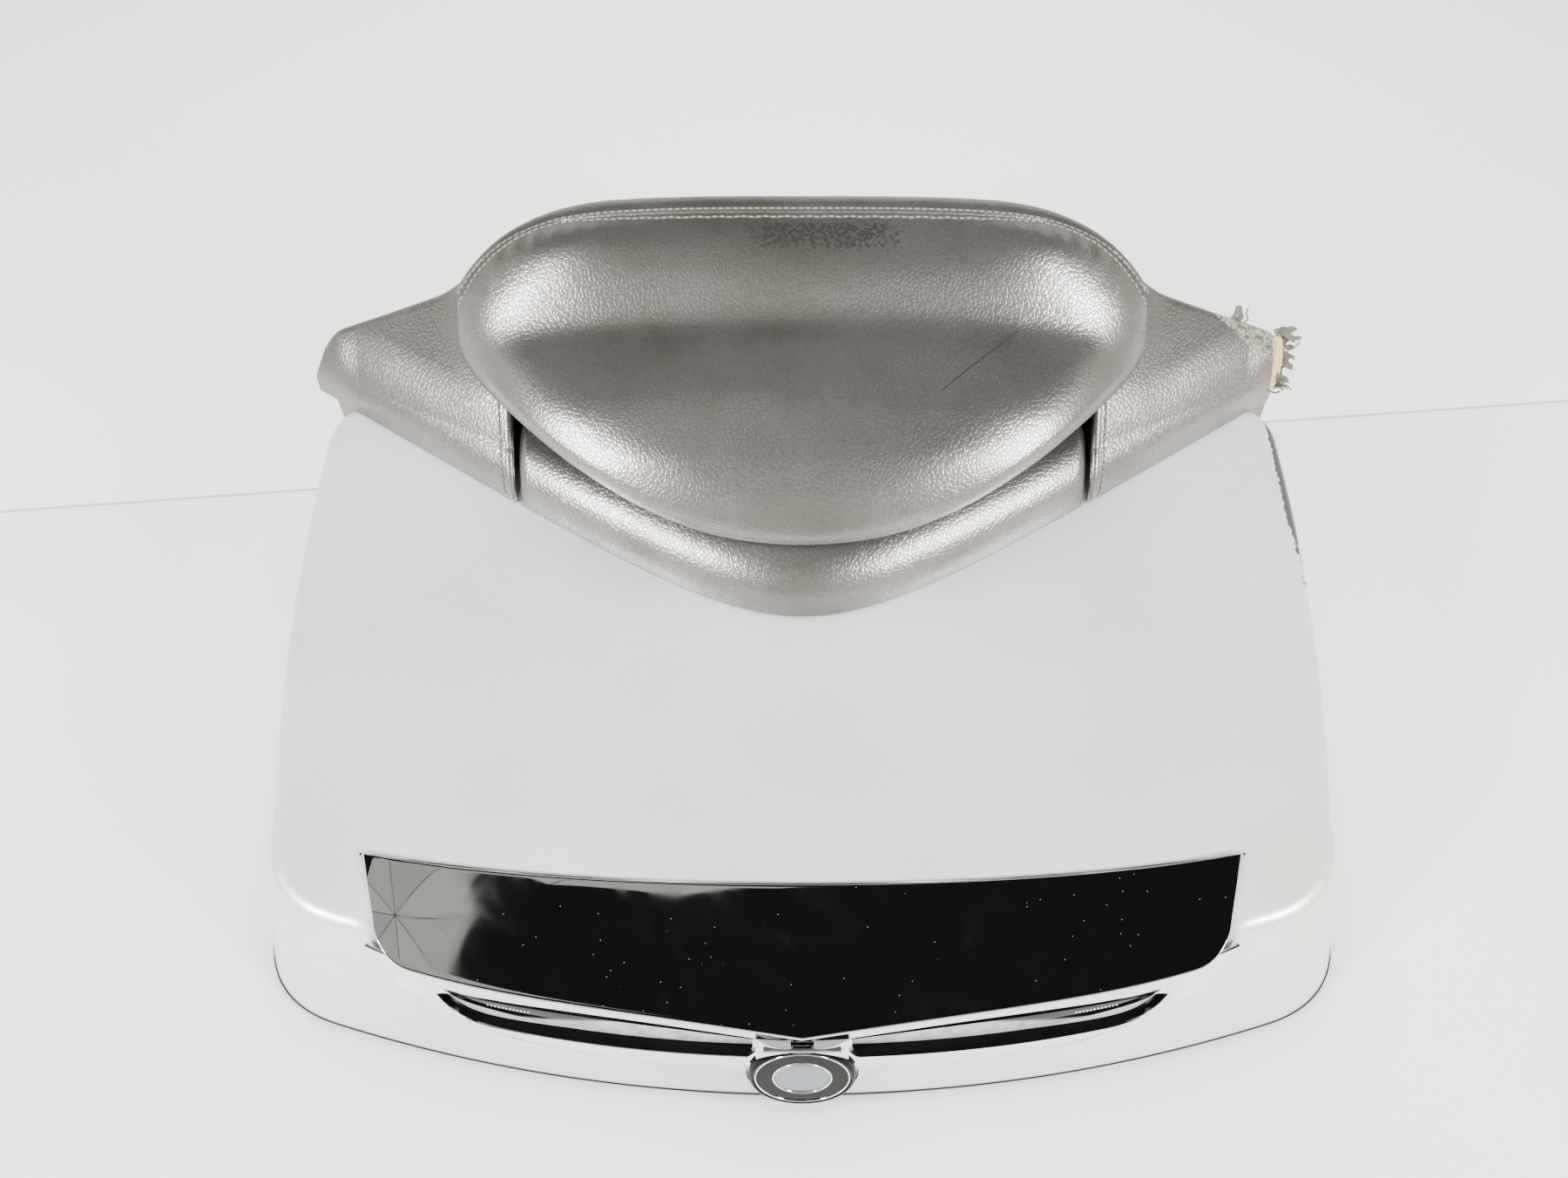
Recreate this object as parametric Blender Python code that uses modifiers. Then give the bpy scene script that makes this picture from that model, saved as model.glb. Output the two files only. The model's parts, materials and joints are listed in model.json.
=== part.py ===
"""Motorcycle top case with a passenger backrest: a deep painted lid hinged at the front on a shallow pan.

The rear of the case faces -Y and the backrest faces +Y. The origin is the middle of the pan's underside.
Sizes in the constants are millimetres, and MM turns them into metres.
"""

from math import asin, cos, exp, log, pi, radians, sin, sqrt

import bmesh
import bpy
from mathutils import Matrix, Vector

MM = 0.001
GAP = 0.3

# Lid: plan of its rim and of its shoulder, and the sloping top
LID_WALL = 4.0
RIM_Z = 5.0
FRONT_RIM_Z = 12.0
RIM_PLAN = {
    "rear": 320, "middle": 326, "front": 326,
    "y_rear": -200, "y_front": 198, "r_rear": 52, "r_front": 34,
}
SHOULDER_PLAN = {
    "rear": 290, "middle": 305, "front": 307,
    "y_rear": -180, "y_front": 186, "r_rear": 44, "r_front": 28,
}
REAR_BOW = 5.43e-4
REAR_STATIONS = (0, 0.2, 0.4, 0.58, 0.74, 0.87)
RIM_RAMP_Y = 140.0
RIM_RAMP = 50.0
WALL_LEVELS = (0.0, 0.35, 0.7, 1.0)
WALL_SWELL = 0.10
TOP_RINGS = ((2.6, 2.6), (9.0, 0.0), (30.0, 0.0), (62.0, 0.0), (105.0, 0.0), (150.0, 0.0))
LINER_INSETS = (24, 60, 105, 150)
LINER_DROP = 6.0
SHOULDER_RADIUS = 9.0
TOP_REAR_Y = -150.0
TOP_REAR_Z = 105.0
TOP_SLOPE = 0.209
TOP_CROWN = 6.0
TOP_HALF_WIDTH = 300.0

# Chamfer at the rear of the top that carries the bright trim
CHAMFER_Y = -195.0
CHAMFER_Z = 78.0
CHAMFER_SLOPE = 0.53
CHAMFER_END_X = 228.0
CHAMFER_BOW = 0.9 * REAR_BOW
CHAMFER_BLEND = 3.0

# Bright trim: upper plate, lower hood and the lamp slots
PLATE_LIFT = 4.2
PLATE_SHEET = 2.2
PLATE_TOP_HALF = 236.0
PLATE_LOW_HALF = 222.0
PLATE_TOP_Y = -127.0
PLATE_TOP_SAG = 17.0
PLATE_LOW_RAKE = 0.128
PLATE_LOW_HOOK = 5.0
PLATE_LIP = ((-0.6, -3.6), (-1.3, -1.6))
PLATE_ROWS = 8
HOOD_SHEET = 2.0
HOOD_HALF = 226.0
HOOD_LOW_Z = 36.0
HOOD_Y = -197.0
HOOD_LEAN = 0.11
HOOD_TOP_GAP = 6.5
HOOD_END_SWEEP = 4.0
HOOD_SAG = 6.0
HOOD_SAG_X = 132.0
HOOD_RISE = 45.0
HOOD_RISE_X = 140.0
HOOD_RISE_SPAN = 87.0
SLOT_INNER_X = 26.0
SLOT_OUTER_X = 194.0
SLOT_HIGH_Z = 68.0
SLOT_ARCH = 4.0
SLOT_ARCH_SPAN = 190.0
SLOT_LOW_Z = 49.0
SLOT_CLOSE = 20.0
SLOT_CLOSE_X = 120.0
SLOT_MIDDLE_Y = -182.0
LAMP_MARGIN = 3.0

# Lock and badge: one axis that points rearward and a little up
BADGE_Y = -204.4
BADGE_Z = 43.0
BADGE_TILT = radians(9.5)
BADGE_RADIUS = 28.5
BARREL_RADIUS = 11.0
CAM_HUB = 8.0
CAM_ARM_HALF = 5.0
CAM_REACH = 24.0
CAM_FOOT = 20.5
CAM_FOOT_END = 220.0
BADGE_PIN_Y = -199.5
BADGE_PIN_Z = 74.6

# Pan under the lid
PAN_WALL = 3.5
PAN_TOP_Z = 20.0
PAN_PLAN = {
    "rear": 300, "middle": 306, "front": 306,
    "y_rear": -187, "y_front": 184, "r_rear": 46, "r_front": 28,
}
INSERT_X = 262.0
INSERT_Y = 90.0

# Striker on the pan that the latch cam hooks under
STRIKER_SCREWS = (2.0, 16.0)
STRIKER_SCREW_Y = -155.0
STRIKER_PIN_X = 9.0
STRIKER_PIN_Z = 24.6
STRIKER_BACK_Y = -171.0
STRIKER_SHEET = 3.0
STRIKER_TOP_Z = 28.0
STRIKER_WIDTH = 26.0

# Front hinges
HINGE_X = 170.0
HINGE_Y = 209.0
HINGE_Z = 9.0
KNUCKLE_RADIUS = 5.5
PIN_RADIUS = 2.3
LEAF_SHEET = 2.5
LEAF_BACK_Y = 198.8
LEAF_FRONT_Y = 201.4
LID_SCREW_OFFSETS = (-7, 7)
LID_SCREW_Z = 38.0
BASE_SCREW_OFFSETS = (-17, 17)
BASE_SCREW_Y = 195.0

# Backrest
BACK_SPLIT_Y = 205.0
BOARD_SHEET = 4.0
BOLT_X = 110.0
BOLT_LEVELS = (95.0, 138.0)
FRONT_DEPTH = 34.0
FRONT_LOW_Z = 75.0
SILHOUETTE_X = (0, 140, 200, 222, 303, 318)
SILHOUETTE_Z = (304, 303, 264, 247, 217, 192)
BOLSTER_TIP_Y = 25.0
BOLSTER_HEIGHT = 32.0
BOLSTER_SPLIT_X = 170.0
BOLSTER_SEAM = 6.0
BOLSTER_DEPTH = 85.0
BOLSTER_RAKE = 0.66
BOLSTER_NOSE = 70.0
BOLSTER_ROLL = 34.0
BOLSTER_LIP = 5.0
WING_END_X = 317.0
PAD_HALF = 203.0
PAD_PROFILE_Y = (47, 58, 75, 100, 130, 148, 165, 182, 196, 205)
PAD_PROFILE_Z = (194, 210, 227, 243, 258, 267, 287, 301, 306, 305)
PAD_THICKNESS = 28.0
PAD_SIDE_DROP = 24.0
PAD_LOW_CURVE = 0.00176
PAD_LOW_LIFT = 2.185e-8
PAD_SHOULDER_X = 140.0
PAD_SHOULDER_DROP = 30.0
PAD_CORE_HALF = 140.0
PAD_CORE_THICKNESS = 130.0


def clear_scene():
    for item in list(bpy.data.objects):
        bpy.data.objects.remove(item, do_unlink=True)


def make_collection(name):
    group = bpy.data.collections.new(name)
    bpy.context.scene.collection.children.link(group)
    return group


def make_material(name, colour, roughness, metallic=0.0):
    finish = bpy.data.materials.new(name)
    finish.use_nodes = True
    shader = finish.node_tree.nodes["Principled BSDF"]
    shader.inputs["Base Color"].default_value = (*colour, 1.0)
    shader.inputs["Roughness"].default_value = roughness
    shader.inputs["Metallic"].default_value = metallic
    return finish


def make_axis(name, place, tilt=0.0):
    """Empty that marks a joint axis and carries the pieces of its body."""
    marker = bpy.data.objects.new(name, None)
    marker.location = Vector(place) * MM
    marker.rotation_euler = (tilt, 0, 0)
    PARTS.objects.link(marker)
    bpy.context.view_layer.update()
    return marker


def add_part(name, mesh, finish, body, place=None, smooth=True):
    part = bpy.data.objects.new(name, mesh)
    if place is not None:
        part.matrix_world = place
    mesh.materials.append(finish)
    if smooth:
        mesh.shade_smooth()
        mesh.set_sharp_from_angle(angle=radians(35))
    PARTS.objects.link(part)
    if body is not None:
        part.parent = body
        part.matrix_parent_inverse = body.matrix_world.inverted()
    return part


def add_cutter(name, mesh):
    cutter = bpy.data.objects.new(name, mesh)
    cutter.hide_render = True
    cutter.display_type = "WIRE"
    CUTTERS.objects.link(cutter)
    return cutter


def cut(part, cutter, operation="DIFFERENCE"):
    tool = part.modifiers.new(operation.title(), "BOOLEAN")
    tool.operation = operation
    tool.object = cutter
    tool.solver = "EXACT"


def thicken(part, thickness):
    wall = part.modifiers.new("Wall", "SOLIDIFY")
    wall.thickness = thickness * MM
    wall.offset = -1.0
    wall.use_even_offset = True


def mesh_of(name, corners, faces):
    mesh = bpy.data.meshes.new(name)
    mesh.from_pydata([Vector(corner) * MM for corner in corners], [], faces)
    return mesh


def loft(name, rings, floor=False, roof=False):
    """Surface through rings of equal length, with the first or last ring closed by a face."""
    count = len(rings[0])
    corners = [corner for ring in rings for corner in ring]
    faces = []
    for level in range(len(rings) - 1):
        for i in range(count):
            j = (i + 1) % count
            low, high = level * count, (level + 1) * count
            faces.append((low + i, low + j, high + j, high + i))
    if floor:
        faces.append(tuple(reversed(range(count))))
    if roof:
        faces.append(tuple(range((len(rings) - 1) * count, len(rings) * count)))
    return mesh_of(name, corners, faces)


def sheet(name, surface, across, along):
    """Open grid over surface(u, v), with u and v from 0 to 1."""
    corners = [surface(i / across, j / along) for j in range(along + 1) for i in range(across + 1)]
    row = across + 1
    faces = []
    for j in range(along):
        for i in range(across):
            corner = j * row + i
            faces.append((corner, corner + 1, corner + row + 1, corner + row))
    return mesh_of(name, corners, faces)


def cushion(name, upper, lower, across, along):
    """Closed cage between two grids that share an edge; upper(u, v) faces along du x dv."""
    row = across + 1
    layer = row * (along + 1)
    corners = []
    for surface in (upper, lower):
        corners += [surface(i / across, j / along) for j in range(along + 1) for i in range(across + 1)]
    faces = []
    for j in range(along):
        for i in range(across):
            a = j * row + i
            faces.append((a, a + 1, a + row + 1, a + row))
            faces.append((layer + a, layer + a + row, layer + a + row + 1, layer + a + 1))
    border = list(range(row))
    border += [j * row + across for j in range(1, along + 1)]
    border += [along * row + i for i in range(across - 1, -1, -1)]
    border += [j * row for j in range(along - 1, 0, -1)]
    for a, b in zip(border, border[1:] + border[:1]):
        faces.append((a, layer + a, layer + b, b))
    return mesh_of(name, corners, faces)


def soften(part):
    smooth = part.modifiers.new("Soft", "SUBSURF")
    smooth.levels = 1
    smooth.render_levels = 1


def rod_mesh(name, radius, length, sides=14):
    """Cylinder centred on its own Z axis."""
    shape = bmesh.new()
    bmesh.ops.create_cone(
        shape, cap_ends=True, segments=sides, radius1=radius * MM, radius2=radius * MM, depth=length * MM
    )
    mesh = bpy.data.meshes.new(name)
    shape.to_mesh(mesh)
    shape.free()
    return mesh


def turned(name, profile, finish, body, place, steps=20):
    """Solid of revolution about its own Z axis; the profile runs down its outer side, radius then height."""
    mesh = bpy.data.meshes.new(name)
    points = [(radius * MM, 0, height * MM) for radius, height in profile]
    closed = profile[0][0] > 0
    edges = [(i, i + 1) for i in range(len(points) - 1)]
    if closed:
        edges.append((len(points) - 1, 0))
    mesh.from_pydata(points, edges, [])
    part = add_part(name, mesh, finish, body, place, smooth=False)
    spin = part.modifiers.new("Spin", "SCREW")
    spin.axis = "Z"
    spin.steps = steps
    spin.render_steps = steps
    spin.use_merge_vertices = True
    spin.merge_threshold = 0.00001
    spin.use_smooth_shade = False
    return part


def flat_plate(name, loops, thickness):
    """Mesh of a flat outline with holes, in its own XY plane, half its thickness each way."""
    curve = bpy.data.curves.new(name, "CURVE")
    curve.dimensions = "2D"
    curve.fill_mode = "BOTH"
    curve.extrude = thickness / 2 * MM
    for loop in loops:
        spline = curve.splines.new("POLY")
        spline.points.add(len(loop) - 1)
        for point, (x, y) in zip(spline.points, loop):
            point.co = (x * MM, y * MM, 0, 1)
        spline.use_cyclic_u = True
    drawing = bpy.data.objects.new(name + "_outline", curve)
    CUTTERS.objects.link(drawing)
    bpy.context.view_layer.update()
    mesh = bpy.data.meshes.new_from_object(drawing.evaluated_get(bpy.context.evaluated_depsgraph_get()))
    bpy.data.objects.remove(drawing, do_unlink=True)
    shape = bmesh.new()
    shape.from_mesh(mesh)
    bmesh.ops.remove_doubles(shape, verts=shape.verts, dist=0.000001)
    shape.to_mesh(mesh)
    shape.free()
    mesh.name = name
    return mesh


def arc(x, y, radius, start, end, steps):
    """Points on an arc, angles in degrees, both ends included."""
    angles = [radians(start + (end - start) * i / steps) for i in range(steps + 1)]
    return [(x + radius * cos(angle), y + radius * sin(angle)) for angle in angles]


def circle(x, y, radius, steps=12):
    return arc(x, y, radius, 0, 360, steps)[:-1]


def turn_to(place, about_x=0.0, about_y=0.0):
    """World placement at a point in millimetres, turned about X, then about Y."""
    turn = Matrix.Rotation(about_y, 4, "Y") @ Matrix.Rotation(about_x, 4, "X")
    return Matrix.Translation(Vector(place) * MM) @ turn


ALONG_Y = radians(-90)
ALONG_X = radians(90)
SECTION = Matrix(((0, 0, 1, 0), (1, 0, 0, 0), (0, 1, 0, 0), (0, 0, 0, 1)))


def section_at(x):
    """Placement that lays a drawing's X along +Y and its Y along +Z, at the given X."""
    return Matrix.Translation((x * MM, 0, 0)) @ SECTION


def facing_front(y):
    """Placement that keeps a drawing's X and lays its Y along +Z, at the given Y."""
    return turn_to((0, y, 0), about_x=radians(90))


def blend_between(xs, zs, x):
    """Straight-line value through a short list of outline points."""
    for a in range(len(xs) - 1):
        if x <= xs[a + 1]:
            share = (x - xs[a]) / (xs[a + 1] - xs[a])
            return zs[a] + (zs[a + 1] - zs[a]) * share
    return zs[-1]


def plan_outline(plan, inset=0.0):
    """Closed plan of the case: bowed rear edge, round corners, sides that swell and a straight front."""
    rear, middle, front = (plan[key] - inset for key in ("rear", "middle", "front"))
    y_rear = plan["y_rear"] + inset
    y_front = plan["y_front"] - inset
    r_rear = max(plan["r_rear"] - 0.5 * inset, 12)
    r_front = max(plan["r_front"] - 0.5 * inset, 8)
    turn_x = rear - r_rear
    turn_y = y_rear + REAR_BOW * turn_x**2
    knee_y = turn_y + 2 * REAR_BOW * turn_x * r_rear
    side_low = knee_y + r_rear
    side_high = y_front - r_front
    swell = 2 * middle - (rear + front) / 2
    half = [(turn_x * share, y_rear + REAR_BOW * (turn_x * share) ** 2) for share in REAR_STATIONS]
    for i in range(5):
        t = i / 5
        x = (1 - t) ** 2 * turn_x + 2 * t * (1 - t) * rear + t * t * rear
        y = (1 - t) ** 2 * turn_y + 2 * t * (1 - t) * knee_y + t * t * side_low
        half.append((x, y))
    for i in range(6):
        t = i / 6
        x = (1 - t) ** 2 * rear + 2 * t * (1 - t) * swell + t * t * front
        half.append((x, side_low + (side_high - side_low) * t))
    half += arc(front - r_front, side_high, r_front, 0, 90, 4)[:-1]
    half += [((front - r_front) * (1 - i / 4), y_front) for i in range(4)]
    other = [(-x, y) for x, y in reversed(half[1:])]
    return half + [(0, y_front)] + other


def lid_plane(x, y):
    return TOP_REAR_Z + TOP_SLOPE * (y - TOP_REAR_Y) + TOP_CROWN * (1 - (x / TOP_HALF_WIDTH) ** 2)


def chamfer_plane(x, y):
    return CHAMFER_Z + CHAMFER_SLOPE * (y - CHAMFER_Y - CHAMFER_BOW * x * x)


def lid_top(x, y):
    """Height of the lid's top: the lower of the sloping top and the rear chamfer, which fades to its ends."""
    top, slope = lid_plane(x, y), chamfer_plane(x, y)
    low = min(top, slope)
    rounded = low - CHAMFER_BLEND * log(exp((low - top) / CHAMFER_BLEND) + exp((low - slope) / CHAMFER_BLEND))
    fade = min(1.0, (abs(x) / CHAMFER_END_X) ** 4)
    return rounded + (top - rounded) * fade


def rim_height(y):
    lift = min(1.0, max(0.0, (y - RIM_RAMP_Y) / RIM_RAMP))
    return RIM_Z + (FRONT_RIM_Z - RIM_Z) * lift


def lid_rings():
    """Rings of the lid from its rim up the wall, over the shoulder and in across the top."""
    rim = plan_outline(RIM_PLAN)
    shoulder = plan_outline(SHOULDER_PLAN)
    rings = []
    for share in WALL_LEVELS:
        lean = share - WALL_SWELL * share * (1 - share)
        ring = []
        for (x0, y0), (x1, y1) in zip(rim, shoulder):
            z0 = rim_height(y0)
            z1 = lid_top(x1, y1) - SHOULDER_RADIUS
            ring.append((x0 + (x1 - x0) * lean, y0 + (y1 - y0) * lean, z0 + (z1 - z0) * share))
        rings.append(ring)
    for inset, drop in TOP_RINGS:
        ring = [(x, y, lid_top(x, y) - drop) for x, y in plan_outline(SHOULDER_PLAN, inset)]
        rings.append(ring)
    return rings


def hood_face(x, z):
    """Outer face of the hood and the lamps, as a Y value."""
    sweep = REAR_BOW * x * x + HOOD_END_SWEEP * (abs(x) / HOOD_HALF) ** 4
    return HOOD_Y + HOOD_LEAN * (z - HOOD_LOW_Z) + sweep


def plate_low_y(x):
    share = abs(x) / PLATE_LOW_HALF
    return CHAMFER_Y + PLATE_LOW_RAKE * abs(x) + PLATE_LOW_HOOK * share**6


def plate_height(x, y):
    return lid_top(x, y) + PLATE_LIFT


def hood_high_z(x):
    return plate_height(x, plate_low_y(x)) - HOOD_TOP_GAP


def hood_low_z(x):
    rise = max(0.0, (abs(x) - HOOD_RISE_X) / HOOD_RISE_SPAN)
    return HOOD_LOW_Z + HOOD_SAG * (x / HOOD_SAG_X) ** 2 + HOOD_RISE * rise**2


def slot_high_z(x):
    return SLOT_HIGH_Z + SLOT_ARCH * sin(pi * min(1.0, (x - SLOT_INNER_X) / SLOT_ARCH_SPAN))


def slot_low_z(x):
    return SLOT_LOW_Z + SLOT_CLOSE * max(0.0, (x - SLOT_CLOSE_X) / (SLOT_OUTER_X - SLOT_CLOSE_X)) ** 3


def slot_outline(side, margin, steps=9):
    """Long eye-shaped outline of a lamp slot, grown by a margin."""
    inner = SLOT_INNER_X - margin * 0.8
    outer = SLOT_OUTER_X + margin * 2
    xs = [inner + (outer - inner) * i / steps for i in range(steps + 1)]
    bound = [min(max(x, SLOT_INNER_X), SLOT_OUTER_X) for x in xs]
    upper = [(side * x, slot_high_z(b) + margin) for x, b in zip(xs, bound)]
    lower = [(side * x, slot_low_z(b) - margin) for x, b in zip(xs, bound)]
    return upper + lower[::-1]


def on_lock_axis(depth):
    """Point on the lock axis, the given depth inward from the badge's face."""
    return (0, BADGE_Y + depth * cos(BADGE_TILT), BADGE_Z - depth * sin(BADGE_TILT))


def lock_place(depth):
    """Placement whose Z axis points out along the lock axis."""
    return turn_to(on_lock_axis(depth), about_x=radians(90) - BADGE_TILT)


def bolster_edge_y(x):
    """Rear edge of the V-shaped bolster on the lid."""
    return BOLSTER_TIP_Y + BOLSTER_RAKE * (sqrt(x * x + BOLSTER_NOSE**2) - BOLSTER_NOSE)


def silhouette(x):
    """Height of the backrest's outline as its front shows it."""
    return blend_between(SILHOUETTE_X, SILHOUETTE_Z, abs(x))


def bolster_rise(distance):
    share = min(1.0, max(0.0, distance / BOLSTER_ROLL))
    return BOLSTER_LIP + (BOLSTER_HEIGHT - BOLSTER_LIP) * sqrt(1 - (1 - share) ** 2)


def pad_top(x, y):
    side = (abs(x) / PAD_HALF) ** 4
    return blend_between(PAD_PROFILE_Y, PAD_PROFILE_Z, y) - PAD_SIDE_DROP * side


def pad_low_y(x):
    return PAD_PROFILE_Y[0] + PAD_LOW_CURVE * x**2 + PAD_LOW_LIFT * x**4


def pad_high_y(x):
    beyond = max(0.0, (abs(x) - PAD_SHOULDER_X) / (PAD_HALF - PAD_SHOULDER_X))
    return BACK_SPLIT_Y - PAD_SHOULDER_DROP * beyond**1.5


def hole_list():
    """Every round hole through a wall: centre, axis turn, radius and length."""
    holes = [(on_lock_axis(16), radians(90) - BADGE_TILT, 15.0, 30)]
    for side in (-1, 1):
        for offset in LID_SCREW_OFFSETS:
            holes.append(((side * HINGE_X + offset, 197, LID_SCREW_Z), ALONG_Y, 1.9, 16))
        for offset in BASE_SCREW_OFFSETS:
            holes.append(((side * HINGE_X + offset, BASE_SCREW_Y, 4), 0.0, 1.9, 14))
        for y in (-INSERT_Y, INSERT_Y):
            holes.append(((side * INSERT_X, y, 3), 0.0, 7.3, 16))
        for level in BOLT_LEVELS:
            holes.append(((side * BOLT_X, 187, level), ALONG_Y, 4.4, 26))
    for x in STRIKER_SCREWS:
        holes.append(((x, STRIKER_SCREW_Y, 5), 0.0, 2.0, 12))
    return holes


def hole_cutter():
    shape = bmesh.new()
    for centre, about_x, radius, length in hole_list():
        bmesh.ops.create_cone(
            shape, cap_ends=True, segments=14, radius1=radius * MM, radius2=radius * MM, depth=length * MM,
            matrix=turn_to(centre, about_x=about_x),
        )
    mesh = bpy.data.meshes.new("screw_holes")
    shape.to_mesh(mesh)
    shape.free()
    return add_cutter("screw_holes", mesh)


def placed_cutter(name, mesh, place):
    cutter = add_cutter(name, mesh)
    cutter.matrix_world = place
    return cutter


def box_mesh(name, low, high):
    shape = bmesh.new()
    bmesh.ops.create_cube(shape, size=1.0)
    size = [(b - a) * MM for a, b in zip(low, high)]
    middle = Vector([(a + b) / 2 * MM for a, b in zip(low, high)])
    bmesh.ops.scale(shape, vec=size, verts=shape.verts)
    bmesh.ops.translate(shape, vec=middle, verts=shape.verts)
    mesh = bpy.data.meshes.new(name)
    shape.to_mesh(mesh)
    shape.free()
    return mesh


def build_pan(holes):
    rings = [[(x, y, 0.0) for x, y in plan_outline(PAN_PLAN, inset)] for inset in (60, 9)]
    rings.append([(x, y, 2.6) for x, y in plan_outline(PAN_PLAN, 4.2)])
    rings.append([(x, y, 8.0) for x, y in plan_outline(PAN_PLAN, 2.0)])
    rings.append([(x, y, PAN_TOP_Z) for x, y in plan_outline(PAN_PLAN)])
    pan = add_part("base_pan", loft("base_pan", rings, floor=True), BLACK_PLASTIC, BASE)
    thicken(pan, PAN_WALL)
    for side, label in ((-1, "left"), (1, "right")):
        x = side * HINGE_X
        tongue = box_mesh("tongue_" + label, (x - 27, 168, 0.3), (x + 27, 206, 3.2))
        cut(pan, add_cutter("tongue_" + label, tongue), "UNION")
    cut(pan, holes)


def build_pan_fittings(holes):
    inner = [plan_outline(PAN_PLAN, -GAP), plan_outline(PAN_PLAN, -3.6)]
    ring = [[(x, y, 12.0) for x, y in inner[0]], [(x, y, 12.0) for x, y in inner[1]]]
    ring += [[(x, y, 18.0) for x, y in inner[1]], [(x, y, 18.0) for x, y in inner[0]]]
    add_part("base_seal", loft("base_seal", ring + [ring[0]], False, False), RUBBER, BASE)
    weld_part("base_seal")
    mat = box_mesh("floor_mat", (-235, -130, PAN_WALL + GAP), (235, 135, PAN_WALL + 2.3))
    rounded = add_part("floor_mat", mat, CARPET, BASE)
    bevel = rounded.modifiers.new("Corners", "BEVEL")
    bevel.width = 0.7 * MM
    bevel.segments = 1
    for side, label in ((-1, "left"), (1, "right")):
        for y, end in ((-INSERT_Y, "rear"), (INSERT_Y, "front")):
            profile = ((10, 8), (10, 3.9), (7, 3.9), (7, 0.2), (3.3, 0.2), (3.3, 8))
            turned(f"mount_insert_{end}_{label}", profile, BRASS, BASE, turn_to((side * INSERT_X, y, 0)), 16)
    build_striker(holes)


def weld_part(name):
    mesh = bpy.data.objects[name].data
    shape = bmesh.new()
    shape.from_mesh(mesh)
    bmesh.ops.remove_doubles(shape, verts=shape.verts, dist=0.000001)
    bmesh.ops.recalc_face_normals(shape, faces=shape.faces)
    shape.to_mesh(mesh)
    shape.free()


def build_striker(holes):
    low = PAN_WALL + GAP
    foot = low + STRIKER_SHEET
    leg_y = STRIKER_BACK_Y + STRIKER_SHEET
    profile = [(STRIKER_BACK_Y, low), (-148, low), (-148, foot)]
    profile += [(leg_y, foot), (leg_y, STRIKER_TOP_Z), (STRIKER_BACK_Y, STRIKER_TOP_Z)]
    angle = flat_plate("striker_bracket", [profile], STRIKER_WIDTH)
    bracket = add_part("striker_bracket", angle, STEEL, BASE, section_at(STRIKER_PIN_X))
    pin_hole = rod_mesh("striker_pin_hole", 2.5, 10)
    place = turn_to((STRIKER_PIN_X, leg_y - STRIKER_SHEET / 2, STRIKER_PIN_Z), about_x=ALONG_Y)
    cut(bracket, placed_cutter("striker_pin_hole", pin_hole, place))
    cut(bracket, holes)
    pin = rod_mesh("striker_pin", 2.2, 13)
    place = turn_to((STRIKER_PIN_X, -173.5, STRIKER_PIN_Z), about_x=ALONG_Y)
    add_part("striker_pin", pin, STEEL, BASE, place)
    for x, label in zip(STRIKER_SCREWS, ("left", "right")):
        screw("striker_screw_" + label, (x, STRIKER_SCREW_Y, foot + GAP), 0.0, 1.7, 5.5, BASE)


def screw(name, seat, about_x, radius, reach, body):
    """Pan-head screw whose head sits on a seat and whose shank runs down from it."""
    head = radius * 1.9
    profile = [(0, 2.0), (head * 0.7, 2.0), (head, 0.7), (head, 0)]
    profile += [(radius, 0), (radius, -reach), (0, -reach)]
    return turned(name, profile, STEEL, body, turn_to(seat, about_x=about_x), 12)


def build_hinges(holes):
    bore = circle(HINGE_Y, HINGE_Z, PIN_RADIUS + GAP)
    low = HINGE_Z - KNUCKLE_RADIUS
    dip = asin((KNUCKLE_RADIUS - LEAF_SHEET) / KNUCKLE_RADIUS) * 180 / pi
    base_section = [(189, low)] + arc(HINGE_Y, HINGE_Z, KNUCKLE_RADIUS, -90, 180 + dip, 12)
    base_section.append((189, low + LEAF_SHEET))
    rise = asin(3.0 / KNUCKLE_RADIUS) * 180 / pi
    lid_section = [(LEAF_FRONT_Y, 52), (LEAF_BACK_Y, 52), (LEAF_BACK_Y, HINGE_Z + 3)]
    lid_section += arc(HINGE_Y, HINGE_Z, KNUCKLE_RADIUS, 180 - rise, 450, 12)
    lid_section.append((LEAF_FRONT_Y, HINGE_Z + KNUCKLE_RADIUS))
    for side, label in ((-1, "left"), (1, "right")):
        x = side * HINGE_X
        leaf = flat_plate("hinge_base_leaf_" + label, [base_section, bore], 50)
        part = add_part("hinge_base_leaf_" + label, leaf, STEEL, BASE, section_at(x))
        middle = box_mesh("knuckle_gap_" + label, (x - 12.4, 202.5, 1), (x + 12.4, 220, 20))
        cut(part, add_cutter("knuckle_gap_" + label, middle))
        cut(part, holes)
        leaf = flat_plate("hinge_lid_leaf_" + label, [lid_section, bore], 24)
        part = add_part("hinge_lid_leaf_" + label, leaf, STEEL, LID, section_at(x))
        cut(part, holes)
        pin = rod_mesh("hinge_pin_" + label, PIN_RADIUS, 54)
        place = turn_to((x, HINGE_Y, HINGE_Z), about_y=ALONG_X)
        add_part("hinge_pin_" + label, pin, STEEL, BASE, place)
        for offset, hand in zip(BASE_SCREW_OFFSETS, "ab"):
            seat = (x + offset, BASE_SCREW_Y, low + LEAF_SHEET + GAP)
            screw(f"hinge_base_screw_{label}_{hand}", seat, 0.0, 1.6, 5.2, BASE)
        for offset, hand in zip(LID_SCREW_OFFSETS, "ab"):
            seat = (x + offset, LEAF_FRONT_Y + GAP, LID_SCREW_Z)
            screw(f"hinge_lid_screw_{label}_{hand}", seat, ALONG_Y, 1.6, 11, LID)


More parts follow.
